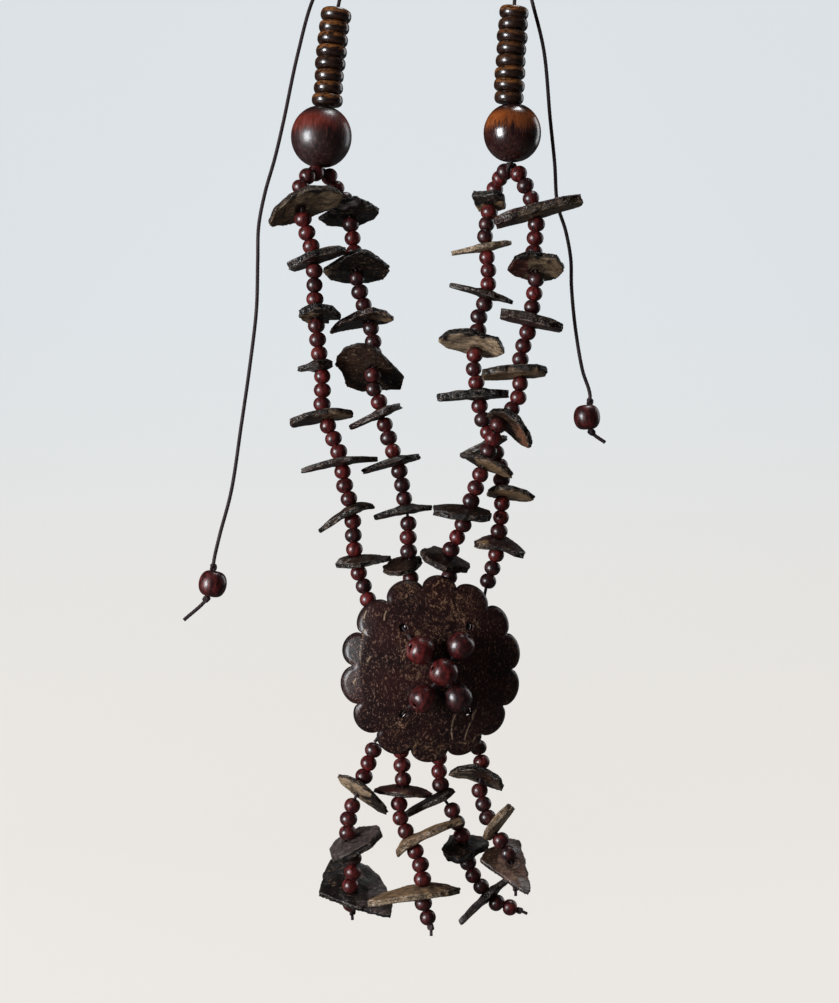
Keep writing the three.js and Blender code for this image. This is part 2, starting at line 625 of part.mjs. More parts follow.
tail(
  'right_tail',
  rightKnotBottom.clone().add(tailDrop).add(new THREE.Vector3(tailOffset, 0, 0)),
  [29, 0, -44.5],
  [[30.6, 0.6, -51], [32.9, 1.6, -60], [36.7, 3, -75.2], [38.8, 5, -95.9], [40.4, 7, -110],
    [41.4, 8.6, -122.5], [44, 8.6, -131], [45.6, 8.4, -140], [45.8, 8, -149], [47, 7.6, -162],
    [49.2, 7.4, -175.2], [51.6, 7.2, -183.4], [50.6, 7.2, -190.3], [52, 7.2, -194.8],
    [56.4, 7.2, -198.2]],
  rightEndBeadRadius,
  rightTailEnd,
);

// Pendant, in its own frame: X across, Z up, its face towards -Y and the middle of its rim at Y = 0
const middleOf = (points) => {
  const sum = points.reduce((total, p) => total.add(p), new THREE.Vector3());
  return sum.divideScalar(points.length);
};
const strandMiddle = middleOf(strandEnds);
const yaw = THREE.MathUtils.degToRad(pendantYaw);
const backward = new THREE.Vector3(-Math.sin(yaw), Math.cos(yaw), 0);
const pendant = new THREE.Group();
pendant.position.set(0, strandMiddle.y, strandEndZ - (pendantRadius - strandOverlap));
pendant.position.addScaledVector(backward, -pendantStandoff);
pendant.rotation.z = yaw;
necklace.add(pendant);
pendant.updateMatrixWorld(true);

const domeAt = (distance) => Math.sqrt(pendantDomeRadius ** 2 - pendantRadius ** 2)
  - Math.sqrt(pendantDomeRadius ** 2 - distance ** 2);

function pendantGeometry() {
  const ring = (share, thicknessShare) => petalNotches.flatMap((notch, petal) => {
    const next = petalNotches[petal + 1] ?? petalNotches[0] + 360;
    return Array.from({ length: petalSteps }, (_, i) => {
      const bulge = petalDepth * (Math.sin((Math.PI * i) / petalSteps) ** petalRoundShare - 1);
      const edge = share * (pendantRadius + bulge);
      const turn = THREE.MathUtils.degToRad(notch + ((next - notch) * i) / petalSteps);
      const y = domeAt(edge) + (thicknessShare * pendantThickness) / 2;
      return new THREE.Vector3(edge * Math.sin(turn), y, edge * Math.cos(turn));
    });
  });
  const coreShare = 0.02;
  const middleShare = 0.55;
  return loopedGeometry([
    ring(coreShare, -1), ring(middleShare, -1), ring(pendantRimShare, -1), ring(1, -1 / 2), ring(1, 1 / 2),
    ring(pendantRimShare, 1), ring(middleShare, 1), ring(coreShare, 1),
  ]);
}

// A round peg along Y
const peg = (x, z, radius, length) => {
  const cylinder = new THREE.CylinderGeometry(radius, radius, length, holeSides);
  return cylinder.translate(x, 0, z);
};

const drilled = [[-1, 1], [1, 1], [-1, -1], [1, -1]].map(([sideways, upward]) => (
  peg(sideways * tieHoleAcross, upward * tieHoleUp, tieHoleRadius, pendantRadius)
));
drilled.push(peg(0, 0, tieHoleRadius, pendantRadius));
const drilledPendant = drilled.reduce((sum, hole) => sum.subtract(solidOf(hole)), solidOf(pendantGeometry()));
addPiece('pendant_disc', geometryOf(drilledPendant), pendantMaterial, pendant);

// Five beads tied on its face. Their cord goes through the middle of the shell to a knot in the hollow.
const domeCentre = Math.sqrt(pendantDomeRadius ** 2 - pendantRadius ** 2);
const ball = (centre, radius) => {
  const sphere = new THREE.SphereGeometry(radius, faceBeadSides, faceBeadRings);
  return solidOf(sphere.translate(centre.x, centre.y, centre.z));
};
const strut = (from, to) => {
  const thread = new Thread([from, to]);
  thread.bareCord(thread.routeLength);
  return solidOf(thread.geometry(cordSides));
};
const seatRadius = pendantDomeRadius + pendantThickness / 2 + runningGap + faceBeadRadius;
const onFace = ([acrossShare, upShare]) => {
  const x = acrossShare * pendantRadius;
  const z = upShare * pendantRadius;
  return new THREE.Vector3(x, domeCentre - Math.sqrt(seatRadius ** 2 - x ** 2 - z ** 2), z);
};
const middleBead = new THREE.Vector3(0, domeCentre - seatRadius - middleBeadLift, 0);
const hollowY = domeCentre - pendantDomeRadius + pendantThickness / 2;
const buttonY = hollowY + runningGap + buttonKnotRadius;
const stemLength = buttonY - middleBead.y;
const stem = new THREE.CylinderGeometry(cordRadius, cordRadius, stemLength, cordSides);
let faceBeads = solidOf(stem.translate(0, (buttonY + middleBead.y) / 2, 0));
faceBeads = faceBeads.add(ball(middleBead, faceBeadRadius));
faceBeads = faceBeads.add(ball(new THREE.Vector3(0, buttonY, 0), buttonKnotRadius));
faceBeadShares.map(onFace).forEach((centre) => {
  faceBeads = faceBeads.add(ball(centre, faceBeadRadius)).add(strut(middleBead, centre));
});
addPiece('centre_beads', geometryOf(faceBeads), beadMaterial, pendant);

// Cords behind the pendant, from the upper strands through one knot to the fringe strands
const fringeZ = -(pendantRadius - fringeOverlap);
const fringes = {
  fringe_1: {
    acrossShare: -0.587,
    groups: [3, 3, 3, 1],
    spare: [0, 1.4, 0, 0],
    origin: [-16.2, -5.2, -291],
    route: [[-16.9, -5.3, -294], [-18.5, -5.2, -298], [-19.8, -5, -302], [-21.6, -4.6, -306.3],
      [-23.2, -4.2, -310.5], [-24.5, -3.6, -315.5], [-24.5, -3.2, -320], [-23.4, -3, -324.3],
      [-22.6, -3.4, -328.4], [-23.4, -4, -332.6], [-23.8, -3, -336.6], [-23.8, -0.9, -340],
      [-23.5, 1.2, -343.6], [-23.2, 2.4, -350]],
  },
  fringe_2: {
    acrossShare: -0.295,
    groups: [3, 3, 3, 2],
    spare: [0.6, 0.6, 0, 0],
    origin: [-8, -3.1, -291],
    route: [[-8, -3.3, -295], [-7.4, -3.9, -301], [-7.8, -4.5, -307], [-8.8, -5, -311],
      [-7.4, -5.5, -315.8], [-5.6, -6, -319.8], [-3.6, -6.6, -323.8], [-2, -7.2, -327.8],
      [-1.3, -7.9, -333], [-1.2, -8.3, -338], [-0.7, -8.5, -342], [1, -8.6, -345.5], [1.4, -8.7, -353]],
  },
  fringe_3: {
    acrossShare: 0.119,
    groups: [3, 3, 3, 2],
    spare: [3.2, 2.4, 0, 0],
    origin: [3.6, 0, -291],
    route: [[3.8, 0.4, -296], [4, 1.2, -302], [5.3, 2, -308.7], [7.8, 2.8, -312.5], [9.6, 3.4, -317],
      [11.2, 4, -321.4], [12.4, 4.4, -326.3], [13.4, 4.8, -331], [15.8, 5, -335.5], [20.4, 5, -340.6],
      [23.4, 5, -343.4], [27.2, 5, -344], [31, 5, -345.5]],
  },
  fringe_4: {
    acrossShare: 0.548,
    groups: [2, 3, 2, 1],
    spare: [0.4, 1.4, 0.6, 0],
    origin: [15.6, 3.2, -291],
    route: [[16.5, 3, -295], [17.2, 2.6, -299], [16.8, 2.2, -302.3], [16.4, 1.6, -306],
      [17.7, 0.8, -311], [19.4, 0, -316], [21.6, -1, -319.4], [24, -2, -323.2], [25.8, -2.1, -326.8],
      [27, -1.2, -330.6], [27.5, 0, -334.4], [27.8, 0.8, -341]],
  },
};
// The knot that carries it all is drawn up tight behind the button knot
const backKnot = new THREE.Vector3(0, buttonY + buttonKnotRadius + runningGap + backKnotRadius, 0);
let backCords = ball(backKnot, backKnotRadius);
strandEnds.forEach((end) => {
  const top = pendant.worldToLocal(end.clone()).add(new THREE.Vector3(0, 0, -swingGap));
  backCords = backCords.add(strut(top, backKnot));
});
Object.entries(fringes).forEach(([name, { acrossShare, groups, spare, origin, route }]) => {
  const foot = new THREE.Vector3(acrossShare * pendantRadius, fringeStandoff, fringeZ);
  backCords = backCords.add(strut(backKnot, foot));
  const start = pendant.localToWorld(foot.clone()).add(new THREE.Vector3(0, 0, -swingGap));
  const thread = new Thread(routeFrom(start, origin, route));
  stringBeads(thread, groups, spare, name);
  thread.knot(endKnotRadius, endKnotLength);
  thread.bareCord(fringeCordEnd);
  addPiece(name, thread.geometry(beadSides), beadMaterial);
});
addPiece('back_cords', geometryOf(backCords), cordMaterial, pendant);

export default necklace;
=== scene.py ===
# Necklace of coconut shell chips and wooden beads, hung up by its cord. +Z is up and the front faces -Y.
import json
import math

import bmesh
import bpy
import numpy as np
from mathutils import Matrix, Vector, noise
from mathutils.kdtree import KDTree


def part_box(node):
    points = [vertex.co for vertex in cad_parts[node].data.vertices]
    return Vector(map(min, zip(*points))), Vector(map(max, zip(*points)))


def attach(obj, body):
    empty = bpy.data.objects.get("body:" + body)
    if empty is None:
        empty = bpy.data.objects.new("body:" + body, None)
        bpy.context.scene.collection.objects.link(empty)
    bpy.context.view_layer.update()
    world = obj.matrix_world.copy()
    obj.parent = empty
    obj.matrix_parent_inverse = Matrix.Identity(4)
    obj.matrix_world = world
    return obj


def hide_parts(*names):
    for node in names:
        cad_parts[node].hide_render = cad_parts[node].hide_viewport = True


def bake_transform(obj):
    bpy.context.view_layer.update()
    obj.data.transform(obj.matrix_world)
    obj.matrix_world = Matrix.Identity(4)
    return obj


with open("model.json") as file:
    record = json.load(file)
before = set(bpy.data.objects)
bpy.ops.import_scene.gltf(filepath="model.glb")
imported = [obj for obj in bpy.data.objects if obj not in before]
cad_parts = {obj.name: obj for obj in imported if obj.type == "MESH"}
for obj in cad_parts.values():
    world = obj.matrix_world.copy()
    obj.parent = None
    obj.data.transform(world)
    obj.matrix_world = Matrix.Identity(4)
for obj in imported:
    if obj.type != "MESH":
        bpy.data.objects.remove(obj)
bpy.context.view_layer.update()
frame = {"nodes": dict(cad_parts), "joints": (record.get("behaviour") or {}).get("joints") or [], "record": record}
print("frame loaded:", len(frame["nodes"]), "nodes")

mm = 0.001  # every size below is in millimetres
jointOf = {joint["name"]: joint for joint in frame["joints"]}


def jointPlace(name):
    return np.array(jointOf[name]["pos_m"]) / mm


def jointAxis(name):
    return np.array(jointOf[name]["axis"], float)


def unit(v):
    return v / np.linalg.norm(v)


# Camera, straight on at eye level
camera = {
    "across": -2.3,
    "away": 575,
    "height": -216.7,
    "pictureHeight": 313.4,  # what the picture covers at the necklace
    "sensor": 36,
}
cameraData = bpy.data.cameras.new("camera")
cameraData.sensor_width = camera["sensor"]
cameraData.lens = camera["sensor"] * camera["away"] / camera["pictureHeight"]
cameraObject = bpy.data.objects.new("camera", cameraData)
cameraObject.location = (camera["across"] * mm, -camera["away"] * mm, camera["height"] * mm)
cameraObject.rotation_euler = (math.radians(90), 0, 0)
bpy.context.scene.collection.objects.link(cameraObject)
bpy.context.scene.camera = cameraObject
bpy.context.scene.view_settings.view_transform = "Standard"

# Daylight from a window at the left, with weak lamps in front, above, at the right and behind.
# A dull lamp isn't mirrored in the lacquer.
lamps = {
    "window": {"place": (-900, -660, -170), "size": (420, 520), "power": 17, "tint": (0.94, 0.97, 1.0),
        "dull": False},
    "fill": {"place": (300, -1200, -300), "size": (700, 700), "power": 1.6, "tint": (1.0, 0.93, 0.88),
        "dull": True},
    "above": {"place": (160, 120, 620), "size": (260, 260), "power": 2.4, "tint": (0.95, 0.98, 1.0),
        "dull": False},
    "behind": {"place": (760, 560, 60), "size": (300, 700), "power": 1.4, "tint": (0.93, 0.97, 1.0),
        "dull": False},
    "backLeft": {"place": (-950, 700, 200), "size": (600, 600), "power": 8, "tint": (0.97, 0.98, 1.0),
        "dull": True},
    "backRight": {"place": (900, 800, 250), "size": (600, 600), "power": 4.5, "tint": (1.0, 0.98, 0.96),
        "dull": True},
}
lampTarget = Vector((0, 0, -200 * mm))


def addLamp(name, lamp):
    data = bpy.data.lights.new(name, "AREA")
    data.shape = "RECTANGLE"
    data.size = lamp["size"][0] * mm
    data.size_y = lamp["size"][1] * mm
    data.energy = lamp["power"]
    data.color = lamp["tint"]
    thing = bpy.data.objects.new(name, data)
    thing.location = Vector(lamp["place"]) * mm
    thing.visible_glossy = not lamp["dull"]
    thing.rotation_euler = (lampTarget - thing.location).to_track_quat("-Z", "Y").to_euler()
    bpy.context.scene.collection.objects.link(thing)


for lampName, lamp in lamps.items():
    addLamp(lampName, lamp)


# Small helpers for node trees
def addNode(tree, kind, **settings):
    node = tree.nodes.new(kind)
    for key, value in settings.items():
        setattr(node, key, value)
    return node


def feed(tree, socket, value):
    if isinstance(value, bpy.types.NodeSocket):
        tree.links.new(value, socket)
    else:
        socket.default_value = value


def newMaterial(name):
    material = bpy.data.materials.new(name)
    material.use_nodes = True
    tree = material.node_tree
    tree.nodes.clear()
    output = addNode(tree, "ShaderNodeOutputMaterial")
    shader = addNode(tree, "ShaderNodeBsdfPrincipled")
    tree.links.new(shader.outputs["BSDF"], output.inputs["Surface"])
    return material, tree, shader


def objectPlace(tree, stretch=(1, 1, 1), turn=(0, 0, 0)):
    coordinates = addNode(tree, "ShaderNodeTexCoord")
    mapping = addNode(tree, "ShaderNodeMapping")
    mapping.inputs["Scale"].default_value = stretch
    mapping.inputs["Rotation"].default_value = turn
    tree.links.new(coordinates.outputs["Object"], mapping.inputs["Vector"])
    return mapping.outputs["Vector"]


def noiseOf(tree, place, perMetre, detail=4.0, roughness=0.55, distortion=0.0):
    node = addNode(tree, "ShaderNodeTexNoise")
    node.inputs["Scale"].default_value = perMetre
    node.inputs["Detail"].default_value = detail
    node.inputs["Roughness"].default_value = roughness
    node.inputs["Distortion"].default_value = distortion
    tree.links.new(place, node.inputs["Vector"])
    return node.outputs["Fac"]


def spread(tree, value, low, high, outLow=0.0, outHigh=1.0):
    node = addNode(tree, "ShaderNodeMapRange", interpolation_type="SMOOTHSTEP")
    feed(tree, node.inputs["Value"], value)
    node.inputs["From Min"].default_value = low
    node.inputs["From Max"].default_value = high
    node.inputs["To Min"].default_value = outLow
    node.inputs["To Max"].default_value = outHigh
    return node.outputs["Result"]


def calc(tree, operation, a, b=0.0):
    node = addNode(tree, "ShaderNodeMath", operation=operation)
    feed(tree, node.inputs[0], a)
    feed(tree, node.inputs[1], b)
    return node.outputs["Value"]


def colour(rgb):
    return (*rgb, 1.0)


def blendColours(tree, share, a, b):
    node = addNode(tree, "ShaderNodeMix", data_type="RGBA")
    feed(tree, node.inputs["Factor"], share)
    feed(tree, node.inputs[6], colour(a) if isinstance(a, tuple) else a)
    feed(tree, node.inputs[7], colour(b) if isinstance(b, tuple) else b)
    return node.outputs[2]


def bumpOf(tree, shader, height, distance, strength=1.0):
    node = addNode(tree, "ShaderNodeBump")
    node.inputs["Strength"].default_value = strength
    node.inputs["Distance"].default_value = distance * mm
    tree.links.new(height, node.inputs["Height"])
    tree.links.new(node.outputs["Normal"], shader.inputs["Normal"])


def attributeOf(tree, name, output="Fac"):
    return addNode(tree, "ShaderNodeAttribute", attribute_name=name).outputs[output]


def marked(tree, base, share, strength, tone):
    return blendColours(tree, calc(tree, "MULTIPLY", share, strength), base, tone)


def dress(tree, shader, base, roughness, coat=0.0, coatRoughness=0.03, specular=0.5):
    values = {
        "Base Color": base, "Roughness": roughness, "Coat Weight": coat, "Coat Roughness": coatRoughness,
        "Specular IOR Level": specular,
    }
    for name, value in values.items():
        feed(tree, shader.inputs[name], value)


# Floor that sweeps up into a wall
studio = {
    "floorHeight": -470,
    "wallAway": 1500,
    "sweepRadius": 700,
    "halfWidth": 4000,
    "wallHeight": 2500,
    "front": -3000,
    "sweepSteps": 24,
    "cool": (0.80, 0.845, 0.875),
    "warm": (0.86, 0.83, 0.79),
    "dim": (0.07, 0.07, 0.07),  # how the paper lights the necklace
}


def studioPaper():
    material, tree, shader = newMaterial("studioPaper")
    heightNode = addNode(tree, "ShaderNodeSeparateXYZ")
    tree.links.new(objectPlace(tree), heightNode.inputs["Vector"])
    share = spread(tree, heightNode.outputs["Z"], studio["floorHeight"] * mm, 0.05)
    tone = blendColours(tree, share, studio["warm"], studio["cool"])
    rays = addNode(tree, "ShaderNodeLightPath")
    paper = blendColours(tree, rays.outputs["Is Camera Ray"], studio["dim"], tone)
    dress(tree, shader, paper, 0.9, specular=0.1)
    glow = addNode(tree, "ShaderNodeEmission")
    tree.links.new(tone, glow.inputs["Color"])
    mix = addNode(tree, "ShaderNodeMixShader")
    tree.links.new(calc(tree, "MULTIPLY", rays.outputs["Is Camera Ray"], 0.85), mix.inputs["Fac"])
    tree.links.new(shader.outputs["BSDF"], mix.inputs[1])
    tree.links.new(glow.outputs["Emission"], mix.inputs[2])
    output = next(node for node in tree.nodes if node.type == "OUTPUT_MATERIAL")
    tree.links.new(mix.outputs["Shader"], output.inputs["Surface"])
    return material


def buildStudio():
    profile = [(studio["front"], studio["floorHeight"])]
    centreY = studio["wallAway"] - studio["sweepRadius"]
    centreZ = studio["floorHeight"] + studio["sweepRadius"]
    for step in range(studio["sweepSteps"] + 1):
        turn = math.radians(90) * step / studio["sweepSteps"]
        profile.append((
            centreY + studio["sweepRadius"] * math.sin(turn),
            centreZ - studio["sweepRadius"] * math.cos(turn),
        ))
    profile.append((studio["wallAway"], studio["wallHeight"]))
    vertices = [(x * mm, y * mm, z * mm) for y, z in profile for x in (-studio["halfWidth"],
        studio["halfWidth"])]
    faces = [(2 * i, 2 * i + 1, 2 * i + 3, 2 * i + 2) for i in range(len(profile) - 1)]
    mesh = bpy.data.meshes.new("studioSweep")
    mesh.from_pydata(vertices, [], faces)
    mesh.shade_smooth()
    sweep = bpy.data.objects.new("studioSweep", mesh)
    sweep.data.materials.append(studioPaper())
    bpy.context.scene.collection.objects.link(sweep)


def lightWorld():
    world = bpy.data.worlds.new("room")
    bpy.context.scene.world = world
    world.use_nodes = True
    tree = world.node_tree
    tree.nodes.clear()
    output = addNode(tree, "ShaderNodeOutputWorld")
    dim = addNode(tree, "ShaderNodeBackground")
    dim.inputs["Color"].default_value = (0.86, 0.92, 1.0, 1)
    dim.inputs["Strength"].default_value = 0.035
    seen = addNode(tree, "ShaderNodeBackground")
    seen.inputs["Color"].default_value = (0.82, 0.85, 0.87, 1)
    rays = addNode(tree, "ShaderNodeLightPath")
    mix = addNode(tree, "ShaderNodeMixShader")
    tree.links.new(rays.outputs["Is Camera Ray"], mix.inputs["Fac"])
    tree.links.new(dim.outputs["Background"], mix.inputs[1])
    tree.links.new(seen.outputs["Background"], mix.inputs[2])
    tree.links.new(mix.outputs["Shader"], output.inputs["Surface"])


buildStudio()
lightWorld()
print("studio and camera done")


# A cord's route: a centripetal Catmull-Rom curve through given points, read by length
class Route:
    sampleStep = 0.25

    def __init__(self, points):
        points = np.array(points, float)
        ends = [2 * points[0] - points[1], *points, 2 * points[-1] - points[-2]]
        places = []
        for before, a, b, after in zip(ends, ends[1:], ends[2:], ends[3:]):
            t0, t1, t2 = (max(np.linalg.norm(q - p), 0.01) ** 0.5 for p, q in ((before, a), (a, b), (b,
                after)))
            leave = ((a - before) / t0 - (b - before) / (t0 + t1) + (b - a) / t1) * t1
            arrive = ((b - a) / t1 - (after - a) / (t1 + t2) + (after - b) / t2) * t1
            steps = max(4, int(np.linalg.norm(b - a) / self.sampleStep))
            for t in np.arange(steps) / steps:
                places.append(
                    a + leave * t + (-3 * a + 3 * b - 2 * leave - arrive) * t**2
                    + (2 * a - 2 * b + leave + arrive) * t**3
                )
        places.append(points[-1])
        self.places = np.array(places)
        self.lengths = np.concatenate([[0], np.cumsum(np.linalg.norm(np.diff(self.places, axis=0), axis=1))])
        self.length = self.lengths[-1]

    def point(self, s):
        inside = np.clip(s, 0, self.length)
        place = np.array([np.interp(inside, self.lengths, self.places[:, i]) for i in range(3)])
        return place + self.along(inside) * (s - inside)

    def along(self, s):
        half = self.sampleStep
        low, high = np.clip([s - half, s + half], 0, self.length)
        ends = [np.array([np.interp(t, self.lengths, self.places[:, i]) for i in range(3)]) for t in (low,
            high)]
        return unit(ends[1] - ends[0])

    def stretch(self, start, end, step):
        count = max(2, int(math.ceil((end - start) / step)) + 1)
        return np.array([self.point(s) for s in np.linspace(start, end, count)])


def shifted(points, origin, start):
    return [start, *(np.array(p) - np.array(origin) + start for p in points)]


# Mesh makers
def meshPiece(name, vertices, faces, material, smooth=True):
    mesh = bpy.data.meshes.new(name)
    mesh.from_pydata(np.asarray(vertices, float) * mm, [], faces)
    if smooth:
        mesh.shade_smooth()
    piece = bpy.data.objects.new(name, mesh)
    if material is not None:
        mesh.materials.append(material)
    bpy.context.scene.collection.objects.link(piece)
    return piece


def meshPlaces(mesh):
    places = np.empty(len(mesh.vertices) * 3)
    mesh.vertices.foreach_get("co", places)
    return places.reshape(-1, 3) / mm


def writeValues(mesh, name, values):
    attribute = mesh.attributes.new(name, "FLOAT", "POINT")
    attribute.data.foreach_set("value", np.asarray(values).astype(np.float32))


def applyModifiers(piece):
    mesh = bpy.data.meshes.new_from_object(piece.evaluated_get(bpy.context.evaluated_depsgraph_get()))
    piece.modifiers.clear()
    piece.data = mesh
    return mesh


def ringFaces(rings, count, closedRows=False):
    faces = []
    for row in range(rings if closedRows else rings - 1):
        below, above = row * count, ((row + 1) % rings) * count
        for i in range(count):
            j = (i + 1) % count
            faces.append((below + i, below + j, above + j, above + i))
    return faces


def framesAlong(path):
    along = np.gradient(path, axis=0)
    along /= np.linalg.norm(along, axis=1)[:, None]
    side = unit(np.cross(along[0], (0.13, 0.99, 0.05)))
    sides = []
    for direction in along:
        side = unit(side - direction * side.dot(direction))
        sides.append(side)
    sides = np.array(sides)
    return along, sides, np.cross(along, sides)


# Waxed cord: three plies laid together, so its section is a soft trefoil that turns along it
cordLook = {"radius": 0.6, "ply": 0.11, "pitch": 3.4, "sides": 12, "step": 0.3}


def cordPiece(name, path, material, radius=cordLook["radius"], pitch=cordLook["pitch"]):
    _, sides, others = framesAlong(path)
    travelled = np.concatenate([[0], np.cumsum(np.linalg.norm(np.diff(path, axis=0), axis=1))])
    count = cordLook["sides"]
    vertices = []
    for i, place in enumerate(path):
        lay = 2 * math.pi * travelled[i] / pitch
        for k in range(count):
            turn = 2 * math.pi * k / count
            reach = radius * (1 - cordLook["ply"] * (1 - abs(math.cos(1.5 * (turn - lay)))))
            vertices.append(place + sides[i] * reach * math.cos(turn) + others[i] * reach * math.sin(turn))
    faces = ringFaces(len(path), count)
    last = (len(path) - 1) * count
    faces.append(tuple(range(count - 1, -1, -1)))
    faces.append(tuple(range(last, last + count)))
    return meshPiece(name, vertices, faces, material)


def turnedBead(name, radius, length, bore, fullness, sides, rows, material=None):
    # A bead turned about Z with a bore through it: its profile is one closed loop
    vertices = []
    for row in range(rows):
        turn = 2 * math.pi * row / rows
        reach = bore + (radius - bore) * max(math.cos(turn), 0) ** fullness
        height = length / 2 * math.sin(turn)
        for k in range(sides):
            angle = 2 * math.pi * k / sides
            vertices.append((reach * math.cos(angle), reach * math.sin(angle), height))
    piece = meshPiece(name, vertices, ringFaces(rows, sides, closedRows=True), material)
    rise = np.repeat([-math.sin(2 * math.pi * row / rows) for row in range(rows)], sides)
    writeValues(piece.data, "rise", rise)
    return piece


def turnTo(direction):
    return Vector(direction).to_track_quat("Z", "Y").to_matrix().to_4x4()


def placeMesh(piece, place, direction, scale=(1, 1, 1)):
    size = Matrix.Diagonal((*scale, 1))
    piece.data.transform(Matrix.Translation(Vector(place) * mm) @ turnTo(direction) @ size)
    return piece


def joinPieces(name, pieces):
    target = pieces[0]
    with bpy.context.temp_override(active_object=target, selected_editable_objects=pieces):
        bpy.ops.object.join()
    target.name = name
    return target


def finishPiece(piece, body, slot, *nodes):
    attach(piece, body)
    if nodes:
        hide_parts(*nodes)
    return piece


# Materials
def cordWax():
    material, tree, shader = newMaterial("cordWax")
    place = objectPlace(tree)
    fibre = noiseOf(tree, place, 1800, 3)
    wearAndRimHighlight = noiseOf(tree, place, 160, 3)
    tone = blendColours(tree, spread(tree, fibre, 0.35, 0.7), (0.016, 0.009, 0.010), (0.052, 0.032, 0.035))
    tone = blendColours(tree, spread(tree, wearAndRimHighlight, 0.5, 0.75, 0, 0.5), tone, (0.085, 0.060, 0.062))
    dress(tree, shader, tone, spread(tree, fibre, 0.3, 0.7, 0.5, 0.7), specular=0.2)
    bumpOf(tree, shader, fibre, 0.08)
    return material


def beadLacquer():
    material, tree, shader = newMaterial("beadLacquer")
    place = objectPlace(tree)
    streaks = noiseOf(tree, objectPlace(tree, (1, 1, 0.35)), 900, 4, 0.65)
    tone = attributeOf(tree, "beadTone")
    dark = blendColours(tree, spread(tree, tone, 0.1, 0.95), (0.010, 0.0025, 0.003), (0.040, 0.003, 0.003))
    red = blendColours(tree, spread(tree, tone, 0.0, 1.0), (0.055, 0.008, 0.008), (0.17, 0.015, 0.013))
    base = blendColours(tree, spread(tree, streaks, 0.42, 0.66), dark, red)
    dust = spread(tree, noiseOf(tree, place, 520, 4, 0.7), 0.60, 0.72, 0, 0.3)
    base = blendColours(tree, dust, base, (0.18, 0.075, 0.075))
    dress(tree, shader, base, spread(tree, streaks, 0.3, 0.75, 0.32, 0.5), coat=0.5, coatRoughness=0.22)
    bumpOf(tree, shader, noiseOf(tree, place, 1500, 4), 0.07)
    return material


def largeBeadLacquer(name, gloss, glow, paintedLightColour, paintedSheen):
    material, tree, shader = newMaterial(name)
    grain = noiseOf(tree, objectPlace(tree, (1, 1, 0.07)), 1500, 5, 0.7)
    broad = noiseOf(tree, objectPlace(tree, (1, 1, 0.3)), 130, 3)
    base = blendColours(tree, spread(tree, grain, 0.35, 0.7), (0.010, 0.004, 0.004), (0.048, 0.012, 0.009))
    # Painted light: a band of warm colour across the upper part of the bead, where its surface faces up in the world,
    # broken by the grain; it stands in for light falling from above
    height = addNode(tree, "ShaderNodeSeparateXYZ")
    tree.links.new(addNode(tree, "ShaderNodeNewGeometry").outputs["Normal"], height.inputs["Vector"])
    streaky = calc(tree, "ADD", height.outputs["Z"], calc(tree, "MULTIPLY", calc(tree, "SUBTRACT", grain,
        0.5), 0.9))
    paintedTopLight = calc(tree, "MULTIPLY", spread(tree, streaky, -0.08, 0.36), spread(tree, height.outputs["Z"],
        0.80, 0.48))
    lit = calc(tree, "MULTIPLY", paintedTopLight, spread(tree, broad, 0.15, 0.5, 0.2, 1.0))
    lit = calc(tree, "MULTIPLY", lit, spread(tree, grain, 0.3, 0.6, 0.45, 1.0))
    base = blendColours(tree, calc(tree, "MULTIPLY", lit, glow), base, paintedLightColour)
    # Pale grey streaks along the grain, stronger on the dull bead: painted sheen
    base = blendColours(tree, calc(tree, "MULTIPLY", spread(tree, grain, 0.5, 0.72), paintedSheen), base, (0.12,
        0.10, 0.10))
    dress(tree, shader, base, gloss, coat=0.6, coatRoughness=gloss * 0.6)
    bumpOf(tree, shader, grain, 0.06)
    return material


def rondelleWood():
    material, tree, shader = newMaterial("rondelleWood")
    grain = noiseOf(tree, objectPlace(tree, (1, 1, 2.5)), 480, 5, 0.7)
    tone = attributeOf(tree, "beadTone")
    rise = attributeOf(tree, "rise")
    base = blendColours(tree, spread(tree, grain, 0.35, 0.65), (0.008, 0.004, 0.003), (0.030, 0.011, 0.006))
    amber = calc(tree, "MULTIPLY", spread(tree, tone, 0.0, 0.9, 0.1, 1.0), spread(tree, grain, 0.38, 0.58))
    # The amber grain is shown only on each flat bead's upper shoulder and the rest is left dark: painted light from
    # above, on the wood's own amber
    amber = calc(tree, "MULTIPLY", amber, spread(tree, rise, -0.08, 0.28))
    base = blendColours(tree, amber, base, (0.24, 0.085, 0.021))
    dress(tree, shader, base, spread(tree, grain, 0.3, 0.7, 0.22, 0.4), coat=0.7, coatRoughness=0.12)
    bumpOf(tree, shader, grain, 0.07)
    return material


